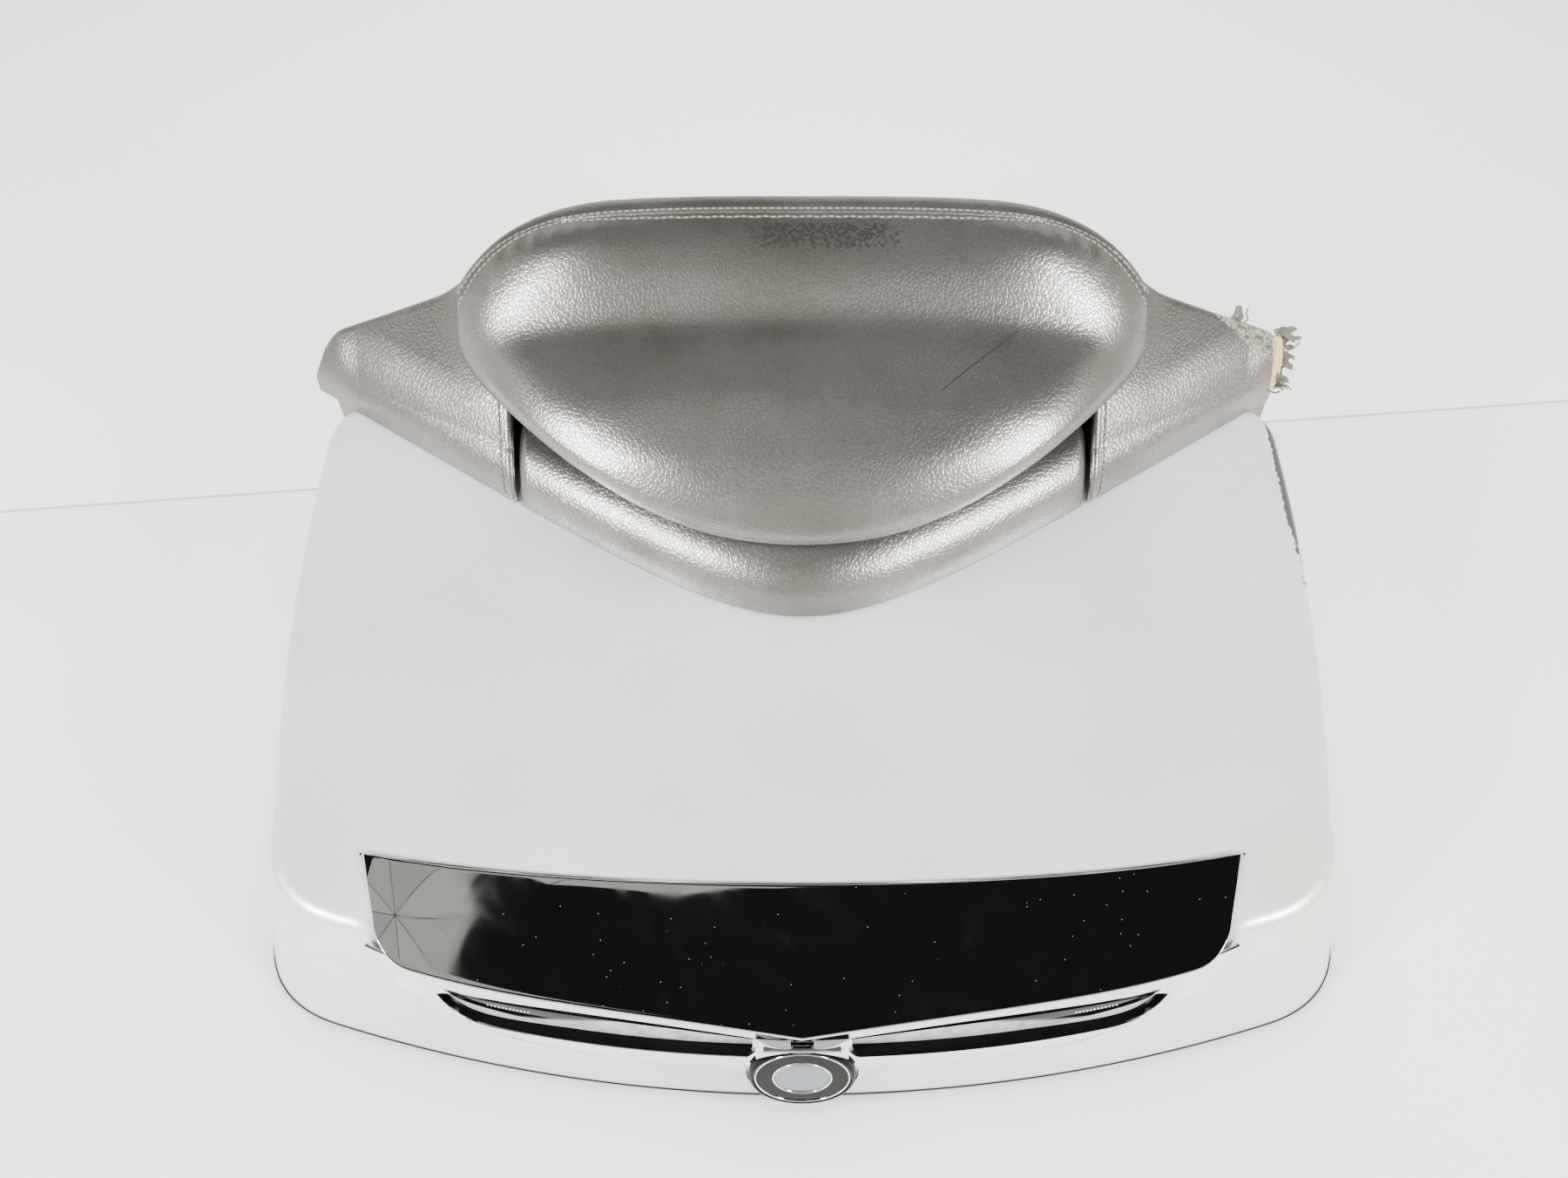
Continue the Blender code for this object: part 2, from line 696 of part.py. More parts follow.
def build_lid(holes):
    lid = add_part("lid_shell", loft("lid_shell", lid_rings(), roof=True), SILVER_PAINT, LID)
    thicken(lid, LID_WALL)
    cut(lid, holes)
    for side, label in ((-1, "left"), (1, "right")):
        window = flat_plate("lamp_window_" + label, [slot_outline(side, LAMP_MARGIN + 1.5)], 60)
        cut(lid, placed_cutter("lamp_window_" + label, window, facing_front(SLOT_MIDDLE_Y)))
    liner_rings = []
    for inset in LINER_INSETS:
        plan = plan_outline(SHOULDER_PLAN, inset)
        liner_rings.append([(x, y, lid_top(x, y) - LID_WALL - LINER_DROP) for x, y in plan])
    liner = add_part("lid_liner", loft("lid_liner", liner_rings, roof=True), CARPET, LID)
    thicken(liner, 2.0)


def build_trim():
    def plate_face(u, v):
        share = 2 * u - 1
        row = round(v * PLATE_ROWS)
        lip = len(PLATE_LIP)
        across = max(0, row - lip) / (PLATE_ROWS - lip)
        low_x = PLATE_LOW_HALF * share
        high_x = PLATE_TOP_HALF * share
        high_y = PLATE_TOP_Y + PLATE_TOP_SAG * share**2
        x = low_x + (high_x - low_x) * across
        y = plate_low_y(low_x) + (high_y - plate_low_y(low_x)) * across
        shift, drop = PLATE_LIP[row] if row < lip else (0, 0)
        return (x, y + shift, plate_height(x, y) + drop)

    plate = add_part("trim_plate", sheet("trim_plate", plate_face, 24, PLATE_ROWS), CHROME, LID)
    thicken(plate, PLATE_SHEET)

    def outer_face(u, v):
        x = HOOD_HALF * (2 * u - 1)
        z = hood_low_z(x) + (hood_high_z(x) - hood_low_z(x)) * v
        return (x, hood_face(x, z), z)

    hood = add_part("trim_hood", sheet("trim_hood", outer_face, 28, 3), CHROME, LID)
    thicken(hood, HOOD_SHEET)
    for side, label in ((-1, "left"), (1, "right")):
        slot = flat_plate("lamp_slot_" + label, [slot_outline(side, 0.0)], 60)
        cut(hood, placed_cutter("lamp_slot_" + label, slot, facing_front(SLOT_MIDDLE_Y)))
    opening = rod_mesh("lock_opening", 20.8, 30, 24)
    cut(hood, placed_cutter("lock_opening", opening, lock_place(10)))


def lamp_strip(side, depth, low_share, high_share, margin):
    """Grid over the lamp slot, set back by a depth behind the hood's face."""
    def face(u, v):
        along = u if side > 0 else 1 - u
        inner = SLOT_INNER_X - margin * 0.8
        outer = SLOT_OUTER_X + margin * 2
        x = inner + (outer - inner) * along
        bound = min(max(x, SLOT_INNER_X), SLOT_OUTER_X)
        low = slot_low_z(bound) - margin
        high = slot_high_z(bound) + margin
        z = low + (high - low) * (low_share + (high_share - low_share) * v)
        return (side * x, hood_face(x, z) + depth, z)
    return face


def build_lamps():
    for side, label in ((-1, "left"), (1, "right")):
        lens = sheet("lamp_lens_" + label, lamp_strip(side, 2.5, 0, 1, 2.4), 12, 2)
        thicken(add_part("lamp_lens_" + label, lens, CLEAR_LENS, LID), 1.6)
        board = sheet("lamp_board_" + label, lamp_strip(side, 8.5, 0.25, 0.75, 1.0), 12, 1)
        thicken(add_part("lamp_board_" + label, board, CIRCUIT, LID), 1.2)
        top = lamp_strip(side, 0, 1, 1, LAMP_MARGIN)
        bottom = lamp_strip(side, 0, 0, 0, LAMP_MARGIN)

        def tray(u, v, top=top, bottom=bottom):
            row = round(v * 3)
            x, y, z = (top if row < 2 else bottom)(u, 0)
            return (x, y + (4.6 if row in (0, 3) else 14.0), z)

        case = sheet("lamp_case_" + label, tray, 12, 3)
        thicken(add_part("lamp_case_" + label, case, BLACK_PLASTIC, LID), 1.4)


def build_lock():
    profile = ((20, -6.4), (20, -9.2), (14.5, -9.6), (14.5, -27), (11.4, -27), (11.4, -6.4))
    turned("lock_housing", profile, CHROME, LID, lock_place(0), 24)
    nut = ((18, -21.4), (18, -25.4), (15.3, -25.4), (15.3, -21.4))
    turned("lock_nut", nut, STEEL, LID, lock_place(0), 12)
    barrel = ((0, -7.0), (BARREL_RADIUS, -7.0), (BARREL_RADIUS, -28.6), (4, -28.6), (4, -37), (0, -37))
    part = turned("lock_barrel", barrel, STEEL, LOCK, lock_place(0), 20)
    key = box_mesh("key_slot", (-0.9, -5, -2), (0.9, 5, 2))
    cut(part, placed_cutter("key_slot", key, lock_place(7.0)))
    inner = 180 + asin(CAM_ARM_HALF / CAM_FOOT) * 180 / pi
    outer = 180 - asin(CAM_ARM_HALF / CAM_REACH) * 180 / pi
    hub = 180 - asin(CAM_ARM_HALF / CAM_HUB) * 180 / pi
    outline = arc(0, 0, CAM_HUB, -hub, hub, 10)
    outline += arc(0, 0, CAM_REACH, outer, CAM_FOOT_END, 6) + arc(0, 0, CAM_FOOT, CAM_FOOT_END, inner, 4)
    cam = flat_plate("latch_cam", [outline, circle(0, 0, 4.3)], 3)
    add_part("latch_cam", cam, STEEL, LOCK, lock_place(31.0))
    nut = ((7, -33), (7, -36), (4.3, -36), (4.3, -33))
    turned("cam_nut", nut, STEEL, LOCK, lock_place(0), 12)


def build_badge():
    cap = [(0, -2.4), (19.3, -2.4), (19.3, -0.8), (27.6, -0.8)]
    cap += [(BADGE_RADIUS, -1.8), (BADGE_RADIUS, -5.9), (0, -5.9)]
    part = turned("badge_cap", cap, BLACK_PLASTIC, BADGE, lock_place(0), 32)
    lug = box_mesh("badge_lug", (-5, -201.6, 69.2), (5, -197.6, 76.6))
    cut(part, add_cutter("badge_lug", lug), "UNION")
    place = turn_to((0, BADGE_PIN_Y, BADGE_PIN_Z), about_y=ALONG_X)
    cut(part, placed_cutter("badge_pin_hole", rod_mesh("badge_pin_hole", 1.5, 50), place))
    ring = ((17.6, -0.7), (19.0, -0.7), (19.0, -2.1), (17.6, -2.1))
    turned("badge_ring", ring, CHROME, BADGE, lock_place(0), 32)
    face = ((0, 0.2), (11, 0.0), (17.3, -0.6), (17.3, -2.1), (0, -2.1))
    turned("badge_face", face, SILVER_PAINT, BADGE, lock_place(0), 32)
    yoke = box_mesh("badge_yoke", (-23, -203, 72.2), (23, -193.6, 77.2))
    part = add_part("badge_yoke", yoke, CHROME, LID, smooth=False)
    slot = box_mesh("yoke_slot", (-5.4, -210, 60), (5.4, -196, 90))
    cut(part, add_cutter("yoke_slot", slot))
    cut(part, bpy.data.objects["badge_pin_hole"])
    add_part("badge_pin", rod_mesh("badge_pin", 1.2, 40, 10), STEEL, LID, place)


def build_backrest_frame():
    width = SILHOUETTE_X[-1] - 20
    outline = [(-width, FRONT_LOW_Z - 8), (width, FRONT_LOW_Z - 8)]
    tops = [(x, z - 12) for x, z in zip(SILHOUETTE_X[1:-1], SILHOUETTE_Z[1:-1])]
    tops = [(min(x, width), z) for x, z in tops]
    outline += tops[::-1] + [(-x, z) for x, z in tops]
    holes = [circle(side * BOLT_X, level, 4.4) for side in (-1, 1) for level in BOLT_LEVELS]
    board = flat_plate("backrest_board", [outline] + holes, BOARD_SHEET)
    board_y = BACK_SPLIT_Y + GAP + BOARD_SHEET / 2
    add_part("backrest_board", board, BLACK_PLASTIC, LID, facing_front(board_y))
    for side, label in ((-1, "left"), (1, "right")):
        for level, height in zip(BOLT_LEVELS, ("lower", "upper")):
            wall_y = 198 - 12 * (level - FRONT_RIM_Z) / 156
            start = wall_y + 1.4
            length = BACK_SPLIT_Y - start
            tube = ((8, 0), (8, -length), (4.4, -length), (4.4, 0))
            place = turn_to((side * BOLT_X, start, level), about_x=radians(90))
            turned(f"backrest_spacer_{height}_{label}", tube, STEEL, LID, place, 14)
            seat = wall_y - LID_WALL - 1.4
            reach = board_y + BOARD_SHEET / 2 - seat
            bolt = ((0, 4), (7, 4), (7, 0), (4, 0), (4, -reach), (0, -reach))
            place = turn_to((side * BOLT_X, seat, level), about_x=radians(90))
            turned(f"backrest_bolt_{height}_{label}", bolt, STEEL, LID, place, 14)


def build_bolsters():
    split = BOLSTER_SPLIT_X

    def centre_top(u, v):
        x = split * (2 * u - 1)
        distance = BOLSTER_DEPTH * v**1.6
        y = bolster_edge_y(x) + distance
        return (x, y, lid_top(x, y) + 1 + bolster_rise(distance))

    def centre_low(u, v):
        x = split * (2 * u - 1)
        y = bolster_edge_y(x) + BOLSTER_DEPTH * v**1.6
        return (x, y, lid_top(x, y) + 1)

    middle = cushion("bolster_center", centre_top, centre_low, 12, 6)
    soften(add_part("bolster_center", middle, PEARL_VINYL, LID))
    for side, label in ((-1, "left"), (1, "right")):
        start = split + BOLSTER_SEAM

        def wing_place(u, v, side=side, start=start):
            along = u if side > 0 else 1 - u
            x = start + (WING_END_X - start) * along
            y = bolster_edge_y(x) + (BACK_SPLIT_Y - bolster_edge_y(x)) * v
            return along, side * x, y

        def wing_top(u, v, wing_place=wing_place):
            along, x, y = wing_place(u, v)
            reach = BACK_SPLIT_Y - bolster_edge_y(x)
            full = silhouette(x) - lid_top(x, BACK_SPLIT_Y)
            climb = max(0.0, full - BOLSTER_HEIGHT) * max(0.0, v - 0.15) / 0.85
            rise = min(full, bolster_rise(reach * v) + climb)
            end = 1 - 0.35 * max(0.0, (along - 0.75) / 0.25) ** 2
            return (x, y, lid_top(x, y) + rise * end)

        def wing_low(u, v, wing_place=wing_place):
            along, x, y = wing_place(u, v)
            return (x, y, lid_top(x, y) + 1)

        wing = cushion("bolster_" + label, wing_top, wing_low, 7, 5)
        soften(add_part("bolster_" + label, wing, PEARL_VINYL, LID))


def build_pads():
    def plan(u, v):
        x = PAD_HALF * (2 * u - 1)
        return x, pad_low_y(x) + (pad_high_y(x) - pad_low_y(x)) * v

    def rear_top(u, v):
        x, y = plan(u, v)
        return (x, y, pad_top(x, y))

    def rear_low(u, v):
        x, y = plan(u, v)
        distance = y - bolster_edge_y(x)
        under = lid_top(x, y) + 3.5
        if distance < BOLSTER_DEPTH + 20:
            under += bolster_rise(distance)
        thickness = PAD_THICKNESS if abs(x) > PAD_CORE_HALF else PAD_CORE_THICKNESS
        return (x, y, max(under, pad_top(x, y) - thickness))

    rear = cushion("backrest_pad", rear_top, rear_low, 12, 9)
    soften(add_part("backrest_pad", rear, PEARL_VINYL, LID))
    back_y = BACK_SPLIT_Y + 2 * GAP + BOARD_SHEET

    def front_place(u, v):
        x = (SILHOUETTE_X[-1] - 1) * (1 - 2 * u)
        return x, FRONT_LOW_Z + (silhouette(x) - 1 - FRONT_LOW_Z) * v

    def front_face(u, v):
        x, z = front_place(u, v)
        crown = (1 - abs(2 * v - 1) ** 4) ** 0.5 * (1 - abs(2 * u - 1) ** 6) ** 0.5
        return (x, back_y + 6 + FRONT_DEPTH * crown, z)

    def back_face(u, v):
        x, z = front_place(u, v)
        return (x, back_y, z)

    front = cushion("backrest_front", front_face, back_face, 16, 6)
    soften(add_part("backrest_front", front, PEARL_VINYL, LID))


clear_scene()
PARTS = make_collection("top_case")
CUTTERS = make_collection("cutters")

SILVER_PAINT = make_material("silver_paint", (0.72, 0.74, 0.76), 0.28, 0.35)
CHROME = make_material("chrome", (0.86, 0.87, 0.88), 0.06, 1.0)
PEARL_VINYL = make_material("pearl_vinyl", (0.42, 0.41, 0.39), 0.5)
BLACK_PLASTIC = make_material("black_plastic", (0.03, 0.03, 0.032), 0.4)
RUBBER = make_material("rubber", (0.02, 0.02, 0.02), 0.8)
STEEL = make_material("zinc_steel", (0.6, 0.6, 0.6), 0.35, 1.0)
BRASS = make_material("brass", (0.7, 0.55, 0.25), 0.35, 1.0)
CARPET = make_material("needle_felt", (0.06, 0.06, 0.065), 0.95)
CLEAR_LENS = make_material("clear_lens", (0.5, 0.5, 0.52), 0.1)
CIRCUIT = make_material("circuit_board", (0.05, 0.18, 0.1), 0.6)

BASE = make_axis("base_origin", (0, 0, 0))
LID = make_axis("lid_axis", (0, HINGE_Y, HINGE_Z))
BADGE = make_axis("badge_axis", (0, BADGE_PIN_Y, BADGE_PIN_Z))
LOCK = make_axis("lock_axis", on_lock_axis(0), radians(90) - BADGE_TILT)

HOLES = hole_cutter()
build_pan(HOLES)
build_pan_fittings(HOLES)
build_hinges(HOLES)
build_lid(HOLES)
build_trim()
build_lamps()
build_lock()
build_badge()
build_backrest_frame()
build_bolsters()
build_pads()
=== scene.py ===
"""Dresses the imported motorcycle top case: a silver-painted lid, bright rear trim with lamp slots, a plain
round lock cover and a backrest in grained pearl vinyl with one torn wing.

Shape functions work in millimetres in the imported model's own frame: +X right, +Y towards the backrest and
+Z up. MM turns them into metres as they go into a mesh.
"""

import json
from math import atan2, pi, radians

import bmesh
import bpy
import numpy as np
from bpy.props import FloatProperty, IntProperty, PointerProperty, StringProperty
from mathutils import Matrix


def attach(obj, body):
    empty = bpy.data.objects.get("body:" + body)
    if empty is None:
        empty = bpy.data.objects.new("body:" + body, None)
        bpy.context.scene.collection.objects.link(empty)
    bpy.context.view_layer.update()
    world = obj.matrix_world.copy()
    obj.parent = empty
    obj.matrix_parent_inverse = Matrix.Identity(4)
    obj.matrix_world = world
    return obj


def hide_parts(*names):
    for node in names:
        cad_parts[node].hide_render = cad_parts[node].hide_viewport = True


bl_info = {
    "name": "Motorcycle Top Case",
    "version": (1, 0, 0),
    "blender": (4, 5, 0),
    "location": "View3D > Sidebar > Top Case",
    "description": "Dresses the packed top case with painted lid, bright trim, lamps and padded backrest",
    "category": "Object",
}

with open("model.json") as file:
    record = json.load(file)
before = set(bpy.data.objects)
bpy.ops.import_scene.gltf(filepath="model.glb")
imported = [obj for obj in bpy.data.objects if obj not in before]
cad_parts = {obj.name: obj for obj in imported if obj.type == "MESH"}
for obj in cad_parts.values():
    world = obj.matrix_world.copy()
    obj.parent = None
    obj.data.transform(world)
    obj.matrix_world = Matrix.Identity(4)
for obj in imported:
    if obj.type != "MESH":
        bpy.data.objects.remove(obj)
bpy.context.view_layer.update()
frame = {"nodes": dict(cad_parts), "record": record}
MM = 0.001
SIDES = ((-1, "left"), (1, "right"))

# Lid: plans of its rim and shoulder, its sloping top and the rear chamfer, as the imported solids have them
RIM_PLAN = {
    "rear": 320, "middle": 326, "front": 326,
    "y_rear": -200, "y_front": 198, "r_rear": 52, "r_front": 34,
}
SHOULDER_PLAN = {
    "rear": 290, "middle": 305, "front": 307,
    "y_rear": -180, "y_front": 186, "r_rear": 44, "r_front": 28,
}
REAR_BOW = 5.43e-4
RIM_Z = 5.0
FRONT_RIM_Z = 12.0
WALL_SWELL = 0.10
TOP_CENTRE = np.array((0.0, 110.0))

# Bright trim and lamp slots
PLATE_LIFT = 4.2
PLATE_TOP_HALF = 236.0
PLATE_LOW_HALF = 222.0
PLATE_CORNER = 20.0
PLATE_LIP = 1.7
HOOD_HALF = 226.0
BAND_SETBACK = 1.0
LENS_LOW_DEPTH = 7.0
LENS_HIGH_DEPTH = 2.0
SLOT_INNER_X = 26.0
SLOT_OUTER_X = 194.0

# Lock axis, which points rearward and a little up
BADGE_CENTRE = np.array((0.0, -204.4, 43.0))
BADGE_OUT = np.array((0.0, -0.98629, 0.16505))
BADGE_UP = np.array((0.0, 0.16505, 0.98629))

# Backrest
BACK_SPLIT_Y = 205.0
FRONT_BACK_Y = 209.6
FRONT_LOW_Z = 75.0
FRONT_DEPTH = 34.0
SILHOUETTE_X = (0, 140, 200, 222, 303, 318)
SILHOUETTE_Z = (304, 303, 264, 247, 217, 192)
BOLSTER_HEIGHT = 32.0
BOLSTER_DEPTH = 85.0
BOLSTER_ROLL = 34.0
BOLSTER_SPLIT_X = 172.5
WING_START_X = 176.0
WING_END_X = 317.0
PAD_HALF = 206.0
PAD_SIDE_DROP = 24.0
PAD_PROFILE_Y = (47, 58, 75, 100, 130, 148, 165, 182, 196, 205)
PAD_PROFILE_Z = (194, 210, 227, 243, 258, 267, 287, 301, 306, 305)
ROLL_X = 134.0
ROLL_Y = 177.0
CREASE_Y = 149.0
BELLY_Y = 108.0
WING_SOFT = 26.0
STITCH_RADIUS = 0.55

# Damage: the lid's chipped edge, the scratch's ends on the pad and half its width, and the torn wing
CHIP_X = 303.5
SCRATCH = ((79.0, 108.0), (125.0, 146.0))
SCRATCH_HALF = 0.35
TORN_END_X = 305.0
TORN_SOFT = 5.0
TORN_SLANT = np.array((0.0, 0.38, 0.925))
FOAM_CENTRE = np.array((303.5, 194.5, 198.0))
SHRED_CENTRE = np.array((305.0, 196.0, 199.0))
SHRED_COUNT = 64
TOP_SHREDS = 5

# Stage, in metres
COVE_RADIUS = 4.0
COVE_HEIGHT = 3.6
# line where the backdrop meets the table, drawn on the floor, and half the width of its painted corner shade
BACKDROP_LINE_Y = 0.318
BACKDROP_LINE_TURN = atan2(0.102, 1.0)
CORNER_SHADE_HALF = 0.0016
UMBRELLA_CENTRE = np.array((-0.22, -0.26, 0.89))
UMBRELLA_AIM = np.array((-0.2, -0.14, 0.1))
UMBRELLA_RADIUS = 0.23


class CaseSizes(bpy.types.PropertyGroup):
    """Sizes of the dressed pieces that a user would change."""

    lid_wall: FloatProperty(
        name="Lid wall", description="Thickness of the lid", default=0.004, unit="LENGTH")
    shoulder: FloatProperty(
        name="Shoulder", description="Radius of the lid's edge", default=0.009, unit="LENGTH")
    pad_edge: FloatProperty(
        name="Pad edge", description="Radius of the pad's edge", default=0.014, unit="LENGTH")
    stitch_pitch: FloatProperty(
        name="Stitch pitch", description="Stitch spacing", default=0.0042, unit="LENGTH")
    stitch_length: FloatProperty(
        name="Stitch", description="Length of a stitch", default=0.0030, unit="LENGTH")
    lamp_count: IntProperty(name="Lamps", description="Light sources in each slot", default=12, min=1)


class CaseColours(bpy.types.PropertyGroup):
    """Colours of the finishes, as sRGB hex values."""

    paint: StringProperty(name="Paint", description="Silver lacquer on the lid", default="#DDE0E3")
    vinyl: StringProperty(name="Vinyl", description="Pearl vinyl on the backrest", default="#938E89")
    chrome: StringProperty(name="Chrome", description="Plated trim", default="#E4E6E8")
    floor: StringProperty(name="Floor", description="Table top", default="#E9E7E2")


class CaseStage(bpy.types.PropertyGroup):
    """Camera and light of the studio."""

    pitch: FloatProperty(
        name="Pitch", description="Camera tilt below level", default=radians(50), subtype="ANGLE")
    height: FloatProperty(name="Height", description="Camera above the floor", default=0.686, unit="LENGTH")
    distance: FloatProperty(
        name="Distance", description="Camera behind the origin", default=0.405, unit="LENGTH")
    light: FloatProperty(name="Light", description="Strength of all lamps together", default=1.0, min=0.0)


def linear_rgb(code):
    """Linear red, green, blue and alpha of an sRGB hex value."""
    values = np.array([int(code[i:i + 2], 16) for i in (1, 3, 5)]) / 255
    linear = np.where(values <= 0.04045, values / 12.92, ((values + 0.055) / 1.055) ** 2.4)
    return (*linear.tolist(), 1.0)


def shaded(colour, share):
    """Linear colour at a share of its brightness."""
    return (*(share * part for part in colour[:3]), 1.0)


def as_colour(value):
    """Linear colour from a hex value, a grey level or a colour that is linear already."""
    if isinstance(value, str):
        return linear_rgb(value)
    return value if isinstance(value, tuple) else (value, value, value, 1.0)


def open_input(node, key):
    """Input of a node by its place, or the open one of that name."""
    if isinstance(key, int):
        return node.inputs[key]
    return next(socket for socket in node.inputs if socket.enabled and socket.name == key)


def feed(tree, node, links):
    """Links a node's inputs to their sources: a socket, or a node's first open output."""
    for key, source in links.items():
        if isinstance(source, bpy.types.Node):
            source = next(socket for socket in source.outputs if socket.enabled)
        tree.links.new(source, open_input(node, key))


def add_node(tree, kind, settings, links):
    """One node with its settings, by ramp stops, property or input, and what feeds it."""
    node = tree.nodes.new("ShaderNode" + kind)
    for key, value in settings.items():
        if key == "stops":
            for stop, (position, colour) in zip(node.color_ramp.elements, value):
                stop.position = position
                stop.color = as_colour(colour)
        elif isinstance(key, str) and hasattr(node, key):
            setattr(node, key, value)
        else:
            open_input(node, key).default_value = as_colour(value) if isinstance(value, str) else value
    feed(tree, node, links)
    return node


def new_finish(name, constants):
    """Procedural material with its shader's constants set, and the link that gives an object's place."""
    finish = bpy.data.materials.new(name)
    finish.use_nodes = True
    tree = finish.node_tree
    shader = tree.nodes["Principled BSDF"]
    for socket, value in constants.items():
        shader.inputs[socket].default_value = value
    place = {"Vector": add_node(tree, "TexCoord", {}, {}).outputs["Object"]}
    return finish, tree, shader, place


def per_metre(size_mm):
    """Texture scale that repeats once in the given number of millimetres."""
    return 1000.0 / size_mm


def silver_lacquer(colours):
    """Silver metallic basecoat under clear lacquer on ABS: fine flake, faint orange peel, edge chips."""
    finish, tree, shader, place = new_finish("silver_lacquer", {
        "Metallic": 0.35, "Coat Weight": 0.7, "Coat Roughness": 0.10, "IOR": 1.5,
    })
    flake = add_node(tree, "TexVoronoi", {"Scale": per_metre(1.1)}, place)
    paint = linear_rgb(colours.paint)
    base = add_node(tree, "ValToRGB", {"stops": ((0.1, shaded(paint, 0.93)), (0.9, paint))},
                    {"Fac": flake.outputs["Color"]})
    haze = add_node(tree, "TexNoise", {"Scale": per_metre(140), "Detail": 3.0}, place)
    dirt = add_node(tree, "ValToRGB", {"stops": ((0.25, "#D9D8D0"), (0.6, "#FFFFFF"))}, {"Fac": haze})
    base = add_node(tree, "Mix", {"data_type": "RGBA", "blend_type": "MULTIPLY", "Factor": 0.5},
                    {"A": base, "B": dirt})
    stain = add_node(tree, "Attribute", {"attribute_name": "stain"}, {}).outputs["Fac"]
    base = add_node(tree, "Mix", {"data_type": "RGBA", "B": "#CFC6A2"}, {"Factor": stain, "A": base})
    chip = add_node(tree, "Attribute", {"attribute_name": "chip"}, {}).outputs["Fac"]
    torn = add_node(tree, "TexNoise", {"Scale": per_metre(5), "Detail": 4.0, "Roughness": 0.7}, place)
    ragged = add_node(tree, "Math", {"operation": "MULTIPLY_ADD", 1: 1.4, 2: -0.7}, {0: torn})
    edge = add_node(tree, "Math", {"operation": "ADD"}, {0: chip, 1: ragged})
    bare = add_node(tree, "ValToRGB", {"stops": ((0.46, 0.0), (0.52, 1.0))}, {"Fac": edge})
    base = add_node(tree, "Mix", {"data_type": "RGBA", "B": "#46484A"}, {"Factor": bare, "A": base})
    rough = add_node(tree, "ValToRGB", {"stops": ((0.44, 0.36), (0.54, 0.8))}, {"Fac": edge})
    peel = add_node(tree, "TexNoise", {"Scale": per_metre(5)}, place)
    height = add_node(tree, "Math", {"operation": "SUBTRACT"}, {0: peel, 1: bare})
    bump = add_node(tree, "Bump", {"Strength": 0.10, "Distance": 0.0004}, {"Height": height})
    feed(tree, shader, {"Base Color": base, "Roughness": rough, "Normal": bump})
    return finish


def bright_chrome(colours):
    """Chrome plating on moulded plastic: a mirror, dulled here and there by wiped smears and dust."""
    finish, tree, shader, place = new_finish("bright_chrome", {})
    smear = add_node(tree, "TexNoise", {"Scale": per_metre(38), "Detail": 5.0, "Distortion": 1.2}, place)
    rough = add_node(tree, "ValToRGB", {"stops": ((0.45, 0.025), (0.8, 0.13))}, {"Fac": smear})
    speck = add_node(tree, "TexVoronoi", {"Scale": per_metre(5.5)}, place)
    dust = add_node(tree, "ValToRGB", {"stops": ((0.025, 1.0), (0.045, 0.0))}, {"Fac": speck})
    base = add_node(tree, "Mix", {"data_type": "RGBA", "A": colours.chrome, "B": "#8E8B85"},
                    {"Factor": dust})
    metal = add_node(tree, "ValToRGB", {"stops": ((0.0, 1.0), (1.0, 0.0))}, {"Fac": dust})
    feed(tree, shader, {"Base Color": base, "Roughness": rough, "Metallic": metal})
    return finish


def scratch_mask(tree, place):
    """One where a thin straight scratch crosses the pad, measured along and across its own line."""
    start = np.array(SCRATCH[0])
    reach = np.array(SCRATCH[1]) - start
    own = add_node(tree, "Mapping", {"vector_type": "TEXTURE", "Location": (*(start * MM), 0),
                                     "Rotation": (0, 0, atan2(reach[1], reach[0]))}, place)
    parts = add_node(tree, "SeparateXYZ", {}, {0: own}).outputs
    across = add_node(tree, "Math", {"operation": "ABSOLUTE"}, {0: parts["Y"]})
    line = add_node(tree, "Math", {"operation": "LESS_THAN", 1: SCRATCH_HALF * MM}, {0: across})
    after = add_node(tree, "Math", {"operation": "GREATER_THAN", 1: 0.0}, {0: parts["X"]})
    length = float(np.hypot(*reach)) * MM
    before = add_node(tree, "Math", {"operation": "LESS_THAN", 1: length}, {0: parts["X"]})
    held = add_node(tree, "Math", {"operation": "MULTIPLY"}, {0: after, 1: before})
    return add_node(tree, "Math", {"operation": "MULTIPLY"}, {0: line, 1: held})


